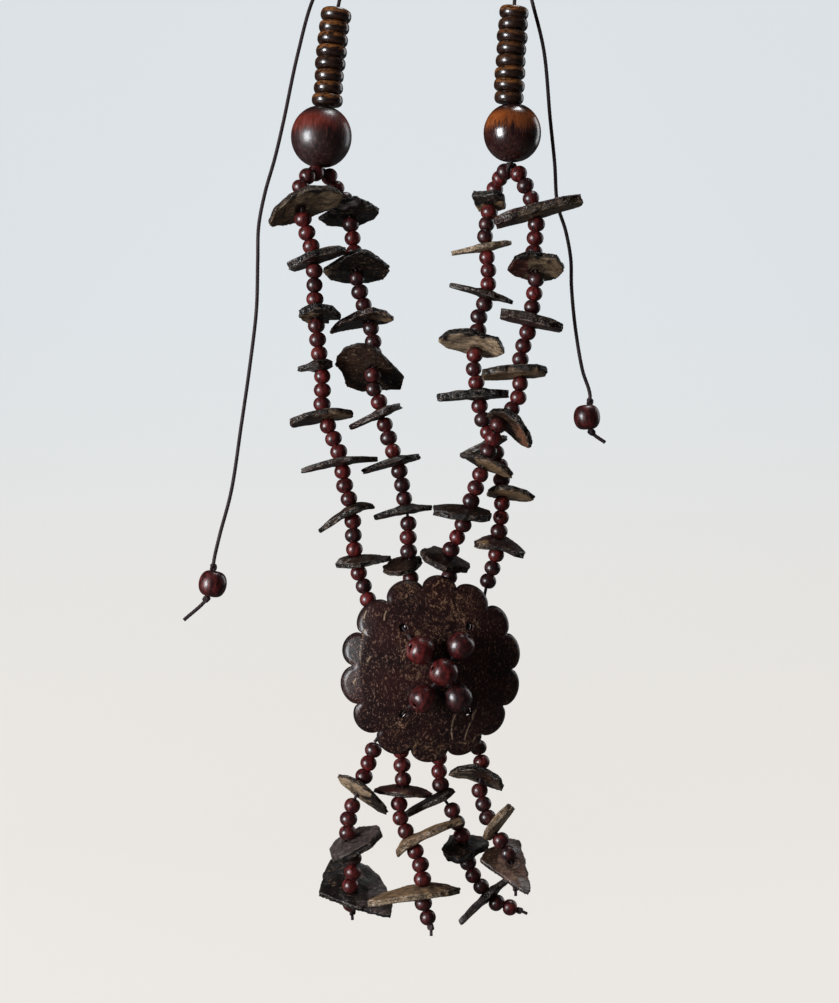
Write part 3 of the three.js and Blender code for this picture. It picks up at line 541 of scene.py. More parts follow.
def brokenShell():
    # Reads what chipPiece wrote on the mesh: the face's tone, where the edge is broken and how waxed it is
    material, tree, shader = newMaterial("brokenShell")
    place = objectPlace(tree)
    tone = attributeOf(tree, "shellTone", "Color")
    edge = attributeOf(tree, "brokenEdge")
    gloss = attributeOf(tree, "shellGloss")
    fibres = noiseOf(tree, objectPlace(tree, (0.3, 1, 1), (0, 0.15, 0.5)), 1300, 5, 0.75)
    grit = noiseOf(tree, place, 1500, 4, 0.8)
    stain = noiseOf(tree, place, 260, 4, 0.65, 0.5)
    face = addNode(tree, "ShaderNodeVectorMath", operation="SCALE")
    tree.links.new(tone, face.inputs[0])
    tree.links.new(spread(tree, fibres, 0.32, 0.70, 0.22, 1.5), face.inputs["Scale"])
    base = blendColours(tree, spread(tree, stain, 0.50, 0.66, 0, 0.72), face.outputs["Vector"], (0.012,
        0.008, 0.007))
    # Pale specks on the raised grain of the broken edge: painted glints
    paintedGlints = calc(tree, "MULTIPLY", spread(tree, grit, 0.60, 0.66), edge)
    base = marked(tree, base, paintedGlints, 0.6, (0.38, 0.34, 0.31))
    # Near black in the sunken grain of the broken edge: painted shade in its hollows
    paintedPitShade = calc(tree, "MULTIPLY", spread(tree, grit, 0.48, 0.38), edge)
    base = marked(tree, base, paintedPitShade, 0.8, (0.005, 0.004, 0.004))
    scratches = spread(tree, noiseOf(tree, objectPlace(tree, (0.1, 1, 1), (0.3, 0.2, 0.6)), 900, 2), 0.67,
        0.70)
    base = marked(tree, base, scratches, 0.35, (0.26, 0.19, 0.12))
    dashes = spread(tree, noiseOf(tree, objectPlace(tree, (0.5, 1, 1), (0.4, 0.7, 0)), 1700, 2, 0.6, 0.5),
        0.60, 0.66)
    base = marked(tree, base, dashes, 0.45, (0.26, 0.16, 0.10))
    flat = calc(tree, "SUBTRACT", 0.6, calc(tree, "MULTIPLY", gloss, 0.34))
    rough = calc(tree, "SUBTRACT", flat, calc(tree, "MULTIPLY", edge, calc(tree, "SUBTRACT", flat, 0.33)))
    dress(tree, shader, base, rough, coat=0.22, coatRoughness=0.2, specular=0.32)
    height = calc(tree, "MULTIPLY", grit, calc(tree, "ADD", calc(tree, "MULTIPLY", edge, 0.8), 0.2))
    bumpOf(tree, shader, height, 0.55)
    return material


def pendantShell():
    material, tree, shader = newMaterial("pendantShell")
    place = objectPlace(tree)
    patch = attributeOf(tree, "tanPatch")
    crack = attributeOf(tree, "hairCrack")
    rim = attributeOf(tree, "darkRim")
    cloud = noiseOf(tree, place, 90, 4)
    base = blendColours(tree, spread(tree, cloud, 0.35, 0.65), (0.009, 0.0028, 0.003), (0.024, 0.006, 0.0052))
    short = noiseOf(tree, objectPlace(tree, (1, 1, 0.5), (0, 0.5, 0)), 2500, 2, 0.6, 0.4)
    leaning = noiseOf(tree, objectPlace(tree, (1, 1, 0.45), (0, -0.6, 0)), 1900, 2, 0.6, 0.8)
    dashes = calc(tree, "MAXIMUM", spread(tree, short, 0.615, 0.655), spread(tree, leaning, 0.64, 0.67))
    base = marked(tree, base, dashes, 0.7, (0.29, 0.155, 0.11))
    clusters = spread(tree, noiseOf(tree, place, 620, 4, 0.7, 1.2), 0.545, 0.60)
    broken = calc(tree, "MULTIPLY", clusters, spread(tree, noiseOf(tree, place, 1900, 4, 0.8, 0.8), 0.42,
        0.52))
    tan = calc(tree, "MULTIPLY", spread(tree, patch, 0.05, 0.6), broken)
    base = marked(tree, base, tan, 0.8, (0.42, 0.235, 0.14))
    gaps = spread(tree, noiseOf(tree, place, 800, 3, 0.7), 0.40, 0.50)
    base = blendColours(tree, calc(tree, "MULTIPLY", crack, gaps), base, (0.42, 0.29, 0.19))
    base = marked(tree, base, rim, 0.85, (0.006, 0.003, 0.003))
    dress(tree, shader, base, spread(tree, short, 0.4, 0.7, 0.34, 0.5), coat=0.25, coatRoughness=0.3,
        specular=0.35)
    bumpOf(tree, shader, noiseOf(tree, place, 1100, 5, 0.65), 0.08)
    return material


waxed = cordWax()
lacquer = beadLacquer()
flatBeadWood = rondelleWood()
shellLook = brokenShell()
print("materials done")


# Geometry Nodes tree that strings copies of a bead on points, each a little different
def randomValue(tree, kind, seed, low=None, high=None):
    node = addNode(tree, "FunctionNodeRandomValue", data_type=kind)
    wanted = "VECTOR" if kind == "FLOAT_VECTOR" else "VALUE"
    for name, source in (("Min", low), ("Max", high)):
        if source is not None:
            tree.links.new(source, next(s for s in node.inputs if s.name == name and s.type == wanted))
    tree.links.new(seed, node.inputs["Seed"])
    return next(s for s in node.outputs if s.type == wanted)


def wired(tree, kind, inputs, output=0, **settings):
    node = addNode(tree, kind, **settings)
    for socket, source in inputs.items():
        feed(tree, node.inputs[socket], source)
    return node.outputs[output]


def beadStringTree():
    tree = bpy.data.node_groups.new("beadString", "GeometryNodeTree")
    sockets = {
        "Geometry": "Geometry", "Bead": "Object", "Smallest": "Float", "Largest": "Float", "Lean": "Float",
        "Seed": "Int", "Material": "Material",
    }
    for name, kind in sockets.items():
        tree.interface.new_socket(name, in_out="INPUT", socket_type=f"NodeSocket{kind}")
    tree.interface.new_socket("Geometry", in_out="OUTPUT", socket_type="NodeSocketGeometry")
    start = addNode(tree, "NodeGroupInput").outputs
    seed = start["Seed"]
    bead = wired(tree, "GeometryNodeObjectInfo", {"Object": start["Bead"]}, "Geometry",
        transform_space="ORIGINAL")
    along = wired(
        tree, "GeometryNodeInputNamedAttribute", {"Name": "along"}, "Attribute", data_type="FLOAT_VECTOR",
    )
    aim = wired(tree, "FunctionNodeAlignRotationToVector", {"Vector": along}, axis="Z")
    lean = randomValue(tree, "FLOAT_VECTOR", seed, calc(tree, "MULTIPLY", start["Lean"], -1), start["Lean"])
    leaning = wired(tree, "FunctionNodeEulerToRotation", {0: lean})
    turn = wired(tree, "FunctionNodeRotateRotation", {0: aim, 1: leaning}, rotation_space="LOCAL")
    size = randomValue(tree, "FLOAT", seed, start["Smallest"], start["Largest"])
    width = wired(tree, "ShaderNodeCombineXYZ", {"X": size, "Y": size, "Z": 1.0})
    strung = wired(
        tree, "GeometryNodeInstanceOnPoints",
        {"Points": start["Geometry"], "Instance": bead, "Rotation": turn, "Scale": width},
    )
    tone = randomValue(tree, "FLOAT", calc(tree, "ADD", seed, 50))
    store = addNode(tree, "GeometryNodeStoreNamedAttribute", data_type="FLOAT", domain="INSTANCE")
    store.inputs["Name"].default_value = "beadTone"
    tree.links.new(strung, store.inputs["Geometry"])
    tree.links.new(tone, next(s for s in store.inputs if s.name == "Value" and s.enabled))
    real = wired(tree, "GeometryNodeRealizeInstances", {"Geometry": store.outputs["Geometry"]})
    painted = wired(tree, "GeometryNodeSetMaterial", {"Geometry": real, "Material": start["Material"]})
    tree.links.new(painted, addNode(tree, "NodeGroupOutput").inputs["Geometry"])
    return tree


beadTree = beadStringTree()


def stringBeads(name, places, directions, shape, material, seed, smallest=0.96, largest=1.06, lean=0.12):
    piece = meshPiece(name, places, [], None, smooth=False)
    attribute = piece.data.attributes.new("along", "FLOAT_VECTOR", "POINT")
    attribute.data.foreach_set("vector", np.array(directions, np.float32).ravel())
    modifier = piece.modifiers.new("beads", "NODES")
    modifier.node_group = beadTree
    values = {"Bead": shape, "Smallest": smallest, "Largest": largest, "Lean": lean, "Seed": seed,
        "Material": material}
    for item in beadTree.interface.items_tree:
        if item.in_out == "INPUT" and item.name in values:
            modifier[item.identifier] = values[item.name]
    mesh = applyModifiers(piece)
    mesh.materials.clear()
    mesh.materials.append(material)
    return piece


def nodeVertices(node):
    return meshPlaces(frame["nodes"][node].data)


# Where the beads sit on a strand: their two shoulders stand one bead radius off the cord
def beadPlaces(node, route, radius, shoulderGap):
    tree = KDTree(len(route.places))
    for i, place in enumerate(route.places):
        tree.insert(place, i)
    tree.balance()
    found = []
    for vertex in nodeVertices(node):
        _, index, away = tree.find(vertex)
        if abs(away - radius) < 0.12:
            along = route.along(route.lengths[index])
            s = route.lengths[index] + (vertex - route.places[index]).dot(along)
            off = np.linalg.norm(vertex - route.point(s))
            if abs(off - radius) < 0.05:
                found.append(s)
    shoulders = []
    for s in sorted(found):
        if shoulders and s - shoulders[-1][-1] < 0.12:
            shoulders[-1].append(s)
        else:
            shoulders.append([s])
    rings = [float(np.mean(group)) for group in shoulders if len(group) >= 6]
    return [(a + b) / 2 for a, b in zip(rings, rings[1:]) if abs(b - a - shoulderGap) < 0.15]


def easedApart(places):
    # The beads of a group stand a little apart, and so close up to the shells on both sides
    eased = []
    for i, place in enumerate(places):
        near = beads["length"] * 1.3
        above = i > 0 and place - places[i - 1] < near
        below = i + 1 < len(places) and places[i + 1] - place < near
        eased.append(place + beads["ease"] * (above - below))
    return eased


beads = {
    "radius": 2.5,
    "crown": 2.62,  # where a turned bead is roundest it stands a little out of the plain one
    "length": 4.1,
    "shoulderShare": 0.28,
    "bore": 0.75,
    "fullness": 1.08,
    "touch": 0.38,
    "ease": 0.25,  # the beads are pressed together at their bores
}
smallBeadGap = beads["length"] * (1 - 2 * beads["shoulderShare"])
beadShape = turnedBead(
    "smallBeadShape", beads["crown"], beads["length"] + beads["touch"], beads["bore"], beads["fullness"],
    sides=22, rows=18,
)

# Hanging loop and the two side cords, down to the flat beads
swingGap = 0.5
loopRoute = [
    [-22.3, 0, -28], [-22.2, 0, -20], [-19.6, 0, -9.5], [-12, 0, -2.1], [0, 0, 0.6], [12.5, 0, -2.1],
    [22, 0, -9.5], [26.3, 0, -19.5], [27, 0, -28],
]
leftKnot = [-33.3, 0, -115.4]
rightKnot = [26.2, 0, -112.2]
sides = {
    "left": {
        "lead": 35,
        "largeRadius": 9.5,
        "knot": leftKnot,
        "route": [
            [-22.3, 0, -28.5], [-24.9, 0, -45], [-27.3, 0, -60], [-28.6, 0, -66], [-30.2, 0, -80],
            [-31.2, 0, -92], [-33, 0, -103], leftKnot, [-33.8, 0, -120],
        ],
    },
    "right": {
        "lead": 33.6,
        "largeRadius": 9,
        "knot": rightKnot,
        "route": [
            [27, 0, -28.5], [27.2, 0, -45], [27.4, 0, -60], [26.9, 0, -68], [26, 0, -82], [25.7, 0, -92],
            [26.7, 0, -101.5], rightKnot, [26.1, 0, -117],
        ],
    },
}
for side in sides.values():
    side["cord"] = Route(side["route"])


def buildLoop():
    left, right = sides["left"], sides["right"]
    step = cordLook["step"]
    seat = 1  # the cord's ends go this far into the flat beads
    path = np.vstack([
        left["cord"].stretch(0, left["lead"] + seat, step)[::-1],
        Route(loopRoute).stretch(0, Route(loopRoute).length, step),
        right["cord"].stretch(0, right["lead"] + seat, step),
    ])
    piece = cordPiece("hanging_cord", path, waxed)
    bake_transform(piece)
    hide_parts("hanging_loop")


buildLoop()

# Flat beads, large beads and gather knots
rondelle = {"touch": 0.1, "radius": 4.75, "length": 3.8, "bore": 0.75, "fullness": 0.3, "count": 8}
rondelleShape = turnedBead(
    "rondelleShape", rondelle["radius"], rondelle["length"] + rondelle["touch"], rondelle["bore"], rondelle["fullness"],
    sides=32, rows=22,
)
largeBead = {"bore": 1.6, "seat": 0.3, "lengthShare": 0.985, "fullness": 1.1, "sides": 56, "rows": 44}
largeLooks = {
    "left": largeBeadLacquer("leftLargeBead", 0.4, 0.75, (0.22, 0.026, 0.012), 0.5),
    "right": largeBeadLacquer("rightLargeBead", 0.2, 0.95, (0.30, 0.075, 0.014), 0.12),
}
gatherKnot = {"radius": 2.0, "length": 3.2, "cord": 0.55}


def knotPiece(name, place, direction, knot, turn=0.0):
    # A pulled-up overhand knot: a trefoil curve, flattened to the knot's size
    steps, count = 90, 8
    t = np.linspace(0, 2 * math.pi, steps, endpoint=False)
    curve = np.column_stack([np.sin(t) + 2 * np.sin(2 * t), np.cos(t) - 2 * np.cos(2 * t), -np.sin(3 * t)])
    curve[:, :2] *= (knot["radius"] - knot["cord"]) / 3
    curve[:, 2] *= knot["length"] / 2 - knot["cord"]
    _, side, other = framesAlong(np.vstack([curve, curve[:1]]))
    angles = 2 * math.pi * np.arange(count) / count
    vertices = []
    for i in range(steps):
        for angle in angles:
            outward = side[i] * math.cos(angle) + other[i] * math.sin(angle)
            vertices.append(curve[i] + knot["cord"] * outward)
    piece = meshPiece(name, vertices, ringFaces(steps, count, closedRows=True), waxed)
    piece.data.transform(Matrix.Rotation(turn, 4, "Z"))
    return placeMesh(piece, place, direction)


def buildSide(name, side, seed):
    cord = side["cord"]
    places = [side["lead"] + (i + 0.5) * rondelle["length"] for i in range(rondelle["count"])]
    stack = stringBeads(
        f"{name}_flat_beads", [cord.point(s) for s in places], [cord.along(s) for s in places], rondelleShape,
        flatBeadWood, seed, 0.95, 1.03, 0.09,
    )
    finishPiece(stack, "necklace", "large_bead", f"{name}_strands")
    centre = jointPlace(f"{name}_large_bead_spin")
    along = jointAxis(f"{name}_large_bead_spin")
    ball = turnedBead(
        f"{name}_round_bead", side["largeRadius"], 2 * side["largeRadius"] * largeBead["lengthShare"],
        largeBead["bore"], largeBead["fullness"], largeBead["sides"], largeBead["rows"], largeLooks[name],
    )
    placeMesh(ball, centre, along)
    finishPiece(ball, f"{name}_large_bead", "large_bead", f"{name}_large_bead")
    half = math.sqrt(side["largeRadius"] ** 2 - largeBead["bore"] ** 2)
    top = side["lead"] + rondelle["count"] * rondelle["length"] + 2 * (half + largeBead["seat"])
    side["knotPlace"] = cord.point(top + gatherKnot["length"] / 2)
    inner = cordPiece(f"{name}_inner_cord", cord.stretch(side["lead"] + 1, top + 2, 1.2), waxed)
    finishPiece(inner, "necklace", "cord", f"{name}_strands")
    knot = knotPiece(f"{name}_gather_knot", side["knotPlace"], cord.along(top), gatherKnot)
    finishPiece(knot, "necklace", "cord", f"{name}_strands")


buildSide("left", sides["left"], 3)
buildSide("right", sides["right"], 8)
print("side stacks done")

# The four upper strands, each from its gather knot down to the pendant
strands = {
    "left_outer": {
        "side": "left", "seed": 11,
        "route": [
            [-35.3, -4.2, -116.3], [-37.3, -6.4, -117.8], [-38.8, -7.2, -119.4], [-39, -6.9, -122.8],
            [-38.9, -6.2, -127], [-38, -5.2, -132.5], [-36.2, -4.6, -138], [-35.1, -4.4, -145],
            [-34.9, -4, -153], [-34.5, -3.6, -162], [-33.6, -3.4, -171.5], [-32.5, -3.6, -180],
            [-32.4, -4, -190], [-29.5, -4.4, -197.5], [-27, -4.6, -204], [-25.6, -4.2, -213],
            [-23.4, -3.6, -220.5], [-22.9, -3.4, -229], [-21.9, -3.6, -238], [-19.6, -4.2, -244.5],
            [-17.6, -4.5, -251],
        ],
    },
    "left_inner": {
        "side": "left", "seed": 12,
        "route": [
            [-30.7, 1.8, -116.2], [-28.4, 3.2, -119.8], [-25.8, 3.8, -123.4], [-24.5, 3.6, -128],
            [-23.6, 3.2, -134], [-22.7, 3, -141], [-21.9, 2.8, -149], [-19.6, 2.6, -157.5],
            [-17.8, 3.4, -163], [-17, 3.6, -167.2], [-16.9, 1.9, -170.6], [-16.9, -0.1, -174],
            [-16.9, -1.6, -178], [-16.5, -1.4, -183.5], [-14.4, -0.6, -188.5], [-13, 0, -195],
            [-10.6, 0.4, -202.7], [-8.4, 0.4, -209.6], [-7.2, 0.2, -217], [-5.9, 0, -224],
            [-5.9, -0.6, -231.5], [-5.2, -1, -240], [-4.9, -1.2, -252],
        ],
    },
    "right_back": {
        "side": "right", "seed": 13,
        "route": [
            [24.4, 3, -113.2], [23, 6.8, -114.6], [21.6, 9.6, -117.4], [20.6, 9.9, -121.4],
            [19.5, 8.2, -126.4], [18.4, 6, -132.6], [19.4, 3, -146], [18.6, 3, -153], [16, 3, -160],
            [16.2, 3, -166], [14.6, 3, -173], [15.9, 3, -181], [17, 3, -189], [18.8, 3.2, -194],
            [21, 3.6, -199], [23, 4, -205], [23.6, 4.2, -212], [23.5, 4.3, -220], [22.6, 4.4, -227],
            [21.6, 4.5, -234.5], [20, 4.6, -239.5], [18.4, 4.7, -245], [17.6, 4.7, -253],
        ],
    },
    "right_front": {
        "side": "right", "seed": 14,
        "route": [
            [29, -1.5, -115], [31.2, -2, -119.6], [33.2, -2, -124.6], [34.1, -2, -131], [33.3, -2, -138],
            [34, -2, -146.5], [33.1, -2, -154], [31.6, -2, -163], [29.2, -2.2, -171.5], [29.1, -2.4, -178.6],
            [28, -2.8, -185.6], [25.2, -4, -189.2], [22.4, -6.2, -192.2], [20.9, -7.2, -195.8],
            [19.4, -6, -200], [17.8, -3.8, -204.6], [15.2, -2.2, -212.4], [13.2, -1.4, -218],
            [10.6, -0.6, -225.6], [7.6, 0.4, -231.5], [7, 1.2, -238], [7.3, 2, -252],
        ],
    },
}
strandCord = {"radius": 0.5, "step": 0.7, "pitch": 2.6}
strandEndHeight = jointPlace("pendant_swing")[2] + swingGap / 2
strungBeads = []  # every small bead's middle, for the chips to sit against


def buildStrand(name, strand):
    side = sides[strand["side"]]
    node = f"{strand['side']}_strands"
    route = Route(shifted(strand["route"], side["knot"], side["knotPlace"]))
    places = easedApart(beadPlaces(node, route, beads["radius"], smallBeadGap))
    below = next(
        s for s in np.arange(route.length) if route.point(s)[2] < strandEndHeight or s > route.length - 1
    )
    print(name, len(places), "beads")
    strungBeads.extend(route.point(s) for s in places)
    strung = stringBeads(
        f"{name}_beads", [route.point(s) for s in places], [route.along(s) for s in places],
        beadShape, lacquer,
        strand["seed"],
    )
    finishPiece(strung, "necklace", "small_bead", node)
    path = route.stretch(0.5, below, strandCord["step"])
    cord = cordPiece(f"{name}_cord", path, waxed, strandCord["radius"], strandCord["pitch"])
    finishPiece(cord, "necklace", "cord", node)


for strandName, strand in strands.items():
    buildStrand(strandName, strand)

# Sliding knots and the two free tails
tails = {
    "left": {
        "origin": [-26.6, 0, -44.5], "outward": -1, "beadRadius": 4.4, "end": 8.6,
        "route": [
            [-30, 0.4, -50.5], [-35.5, 0.6, -60], [-40.5, 0.8, -77.8], [-44.8, 1, -98.1], [-47.6, 1, -110],
            [-50.6, 1, -120.5], [-52.6, 1, -131], [-52.9, 1, -142], [-53.3, 1, -157], [-55.4, 1, -175],
            [-58, 1, -193], [-61.2, 1, -214], [-65, 1, -228.5], [-66.8, 1, -237], [-66.9, 1, -242.5],
            [-69, 1, -247.8], [-76, 1, -254.3],
        ],
    },
    "right": {
        "origin": [29, 0, -44.5], "outward": 1, "beadRadius": 4.2, "end": 4.4,
        "route": [
            [30.6, 0.6, -51], [32.9, 1.6, -60], [36.7, 3, -75.2], [38.8, 5, -95.9], [40.4, 7, -110],
            [41.4, 8.6, -122.5], [44, 8.6, -131], [45.6, 8.4, -140], [45.8, 8, -149], [47, 7.6, -162],
            [49.2, 7.4, -175.2], [51.6, 7.2, -183.4], [50.6, 7.2, -190.3], [52, 7.2, -194.8],
            [56.4, 7.2, -198.2],
        ],
    },
}
endBead = {"lengthShare": 1.85, "bore": 0.75, "fullness": 0.72, "sides": 36, "rows": 30}
stopperKnot = {"radius": 1.25, "length": 2.3, "cord": 0.5, "seat": 2.2, "turn": 0.7}
slidingKnot = {"length": 6, "turns": 4.5, "reach": 1.35, "cord": 0.55}


def buildTail(name, tail):
    body = f"{name}_tail"
    start = jointPlace(f"{name}_tail_swing") - np.array([0, 0, swingGap / 2])
    route = Route(shifted(tail["route"], tail["origin"], start))
    path = route.stretch(0, route.length, cordLook["step"])
    cord = cordPiece(f"{body}_cord", path, waxed)
    beadLength = endBead["lengthShare"] * tail["beadRadius"]
    middle = route.length - tail["end"] - stopperKnot["seat"] - beadLength / 2
    shape = turnedBead(
        f"{name}_end_bead_shape", tail["beadRadius"], beadLength, endBead["bore"], endBead["fullness"],
        endBead["sides"], endBead["rows"],
    )
    bead = stringBeads(
        f"{name}_end_bead", [route.point(middle)], [route.along(middle)], shape, lacquer, 21, 1, 1, 0.02,
    )
    bpy.data.objects.remove(shape)
    knots = []
    for k, away in enumerate((-1, 1)):
        s = middle + away * (beadLength + stopperKnot["seat"]) / 2
        turn = stopperKnot["turn"] * k
        knots.append(knotPiece(f"{name}_stopper_knot_{k + 1}", route.point(s), route.along(s), stopperKnot,
            turn))
    finishPiece(cord, body, "cord", body)
    finishPiece(bead, body, "small_bead", body)
    for knot in knots:
        finishPiece(knot, body, "cord", body)
    print(name, "tail", round(route.length, 1), "mm")


def buildSlidingKnot(name, tail):
    axis = jointAxis(f"{name}_knot_slide")
    foot = jointPlace(f"{name}_tail_swing")
    low, high = (np.array(corner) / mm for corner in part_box(f"{name}_sliding_knot"))
    middle = (low + high) / 2
    side = unit(np.array([tail["outward"], 0, 0]) - axis * axis[0] * tail["outward"])
    other = np.cross(axis, side)
    steps = 110
    share = np.linspace(0, 1, steps)
    turn = 2 * math.pi * slidingKnot["turns"] * share
    reach = slidingKnot["reach"]
    climb = (share - 0.5) * (slidingKnot["length"] - 2 * slidingKnot["cord"])
    path = middle + np.outer(climb, axis) + reach * (np.outer(np.cos(turn), side) + np.outer(np.sin(turn),
        other))
    piece = cordPiece(f"{name}_wound_knot", path, waxed, slidingKnot["cord"], 2.6)
    # The cord's end comes out of the lowest turn and covers the top of the tail, which swings there
    below = foot - np.array([0, 0, swingGap / 2 + 0.35])
    end = cordPiece(f"{name}_knot_end", np.array([path[3], path[0], (path[0] + foot) / 2, foot, below]),
        waxed, 0.64)
    finishPiece(piece, f"{name}_sliding_knot", "cord", f"{name}_sliding_knot")
    finishPiece(end, f"{name}_sliding_knot", "cord", f"{name}_sliding_knot")


for tailName, tail in tails.items():
    buildTail(tailName, tail)
    buildSlidingKnot(tailName, tail)
print("tails done")

# Pendant frame: X across its face, Y backward and Z up, from the middle of its rim
pendant = {
    "standoff": 5.8,
    "strandOverlap": 10,
    "radius": 29,
    "thickness": 3.0,
    "domeRadius": 72,
    "notches": [-7.5, 17, 43, 66, 91.5, 118, 143, 169.5, 196, 223, 247, 273.5, 297,
        325.5],  # degrees from the top
    "notchDepths": [4.0, 3.6, 3.8, 3.4, 4.1, 4.3, 3.7, 3.9, 4.1, 4.0, 3.6, 4.2, 3.8, 4.1],
    "lobeShare": 0.46,
    "edge": 1.5,
    "rings": 105,
    "sides": 560,
    "holeRadius": 1.3,
    "holeAcross": 10.5,
    "holeUp": 13.2,
}
pendantX = jointAxis("pendant_swing")
pendantZ = np.array([0.0, 0.0, 1.0])
pendantY = np.cross(pendantZ, pendantX)
pendantMiddle = jointPlace("pendant_swing") - pendant["standoff"] * pendantY
pendantMiddle = pendantMiddle - (pendant["radius"] - pendant["strandOverlap"]) * pendantZ
pendantTurn = Matrix(np.column_stack([pendantX, pendantY, pendantZ]).tolist()).to_4x4()
pendantMove = Matrix.Translation(Vector(pendantMiddle) * mm) @ pendantTurn
domeCentre = math.sqrt(pendant["domeRadius"] ** 2 - pendant["radius"] ** 2)


def domeAt(distance):
    return domeCentre - np.sqrt(pendant["domeRadius"] ** 2 - np.minimum(distance, pendant["radius"]) ** 2)


def petalReach(turn):
    notches = pendant["notches"]
    degrees = notches[0] + (math.degrees(turn) - notches[0]) % 360
    petal = max(i for i, notch in enumerate(notches) if notch <= degrees)
    following = (petal + 1) % len(notches)
    share = (degrees - notches[petal]) / ((notches[following] - notches[petal]) % 360)
    depth = pendant["notchDepths"][petal] * (1 - share) + pendant["notchDepths"][following] * share
    return pendant["radius"] + depth * (math.sin(math.pi * share) ** pendant["lobeShare"] - 1)


# The petals at its left are bent back beyond a crack
bentPetals = {"from": 244, "to": 316, "fade": 16, "start": 23.6, "slope": 0.17}


def petalBend(x, z):
    turn = math.degrees(math.atan2(x, z)) % 360
    inside = min(turn - bentPetals["from"], bentPetals["to"] - turn) / bentPetals["fade"]
    beyond = max(math.hypot(x, z) - bentPetals["start"], 0)
    return bentPetals["slope"] * beyond * min(max(inside, 0), 1)


tanPatches = [  # across, up, radius and strength on the face
    (2, 24, 6, 1.0), (9, 19, 6, 0.9), (-8, 24, 4, 0.6), (-9, 10, 4.5, 0.7), (-9.5, 5, 3.5, 0.8), (-8, 1, 4,
        0.7),
    (22, 20, 3, 0.7), (27, 6, 3, 0.8), (26, -6, 2.5, 0.6), (-12, -17, 4, 0.5), (-4, -24, 5, 0.7), (2, -27,
        4, 0.8),
    (12, -24, 3, 0.6), (-27, -2, 3, 0.3), (0, 12, 6, 0.5), (8, 12, 4, 0.5),
]
hairCracks = [
    [(6.1, -13.6), (5.3, -15.2), (4.9, -17.2), (5.0, -19.4), (5.5, -21.6)],
    [(12.9, -11.9), (12.5, -13.2), (11.5, -14.4), (11.9, -15), (11, -16.6), (10.3, -18.6), (9.7, -20.8),
        (9.6, -22)],
    [(-21.8, 12.6), (-22.6, 10.6), (-23.3, 8), (-23.6, 5.4), (-23.5, 2.6)],
    [(-15.2, 18.6), (-15.9, 17.2), (-16.2, 15.6)],
    [(-21.2, 18.2), (-21.9, 16.6), (-22, 15)],
    [(7.4, -22.3), (8.6, -22.9), (10.2, -23.1)],
    [(12.6, -22.2), (13.3, -20.8), (15.2, -20.4)],
    [(-20.6, 4.6), (-21.3, 3.4), (-21.7, 1.9)],
    [(12.2, 15.2), (13.2, 14.2), (13.5, 12.8)],
    [(-24.8, -2.2), (-25.4, -3.4), (-25.2, -4.4)],
    [(-8.4, -25.6), (-7.6, -26.6), (-6.2, -27)],
]


def pendantDisc():
    count, rings = pendant["sides"], pendant["rings"]
    turns = 2 * math.pi * np.arange(count) / count
    reach = np.array([petalReach(t) for t in turns])
    outline = np.column_stack([reach * np.sin(turns), reach * np.cos(turns)])
    tree = KDTree(count)
    for i, (x, z) in enumerate(outline):
        tree.insert((x, z, 0), i)
    tree.balance()
    shares = np.sin(np.linspace(0.02, 1, rings) * math.pi / 2)
    vertices = []
    half = pendant["thickness"] / 2
    for face in (-1, 1):
        for share in shares[:-1] if face == 1 else shares:
            for x, z in outline * share:
                away = tree.find((x, z, 0))[2] if share < 1 else 0
                rise = 1 - min(away / pendant["edge"], 1)
                thick = half * math.sqrt(max(0, 1 - rise**2))
                y = float(domeAt(math.hypot(x, z))) + face * thick + petalBend(x, z)
                vertices.append((x, y, z))
    faces = ringFaces(rings, count)
    backStart = rings * count
    for row in range(rings - 1):
        above = backStart + (row + 1) * count if row < rings - 2 else (rings - 1) * count
        below = backStart + row * count
        for i in range(count):
            j = (i + 1) % count
            faces.append((below + i, above + i, above + j, below + j))
    faces.append(tuple(range(count - 1, -1, -1)))
    faces.append(tuple(range(backStart, backStart + count)))
    return meshPiece("shell_pendant", vertices, faces, pendantShell())


def paintPendant(piece):
    mesh = piece.data
    places = meshPlaces(mesh)
    x, z = places[:, 0], places[:, 2]
    patch = np.zeros(len(places))
    for across, height, radius, strength in tanPatches:
        away = np.hypot(x - across, z - height) / radius
        patch = np.maximum(patch, strength * np.clip(1.3 - away, 0, 1))
    crack = np.zeros(len(places))
    for line in hairCracks:
        for (x0, z0), (x1, z1) in zip(line, line[1:]):
            dx, dz = x1 - x0, z1 - z0
            t = np.clip(((x - x0) * dx + (z - z0) * dz) / (dx * dx + dz * dz), 0, 1)
            away = np.hypot(x - x0 - t * dx, z - z0 - t * dz)
            crack = np.maximum(crack, np.clip(1.6 - away / 0.13, 0, 1))
    behind = places[:, 1] > domeAt(np.hypot(x, z)) + [petalBend(a, b) for a, b in zip(x, z)]
    crack[behind] = 0
    turns = np.arctan2(x, z)
    reach = np.array([petalReach(t) for t in turns])
    rim = np.clip(1 - (reach - np.hypot(x, z)) / 0.9, 0, 1)
    for name, values in (("tanPatch", patch), ("hairCrack", crack), ("darkRim", rim)):
        writeValues(mesh, name, values)


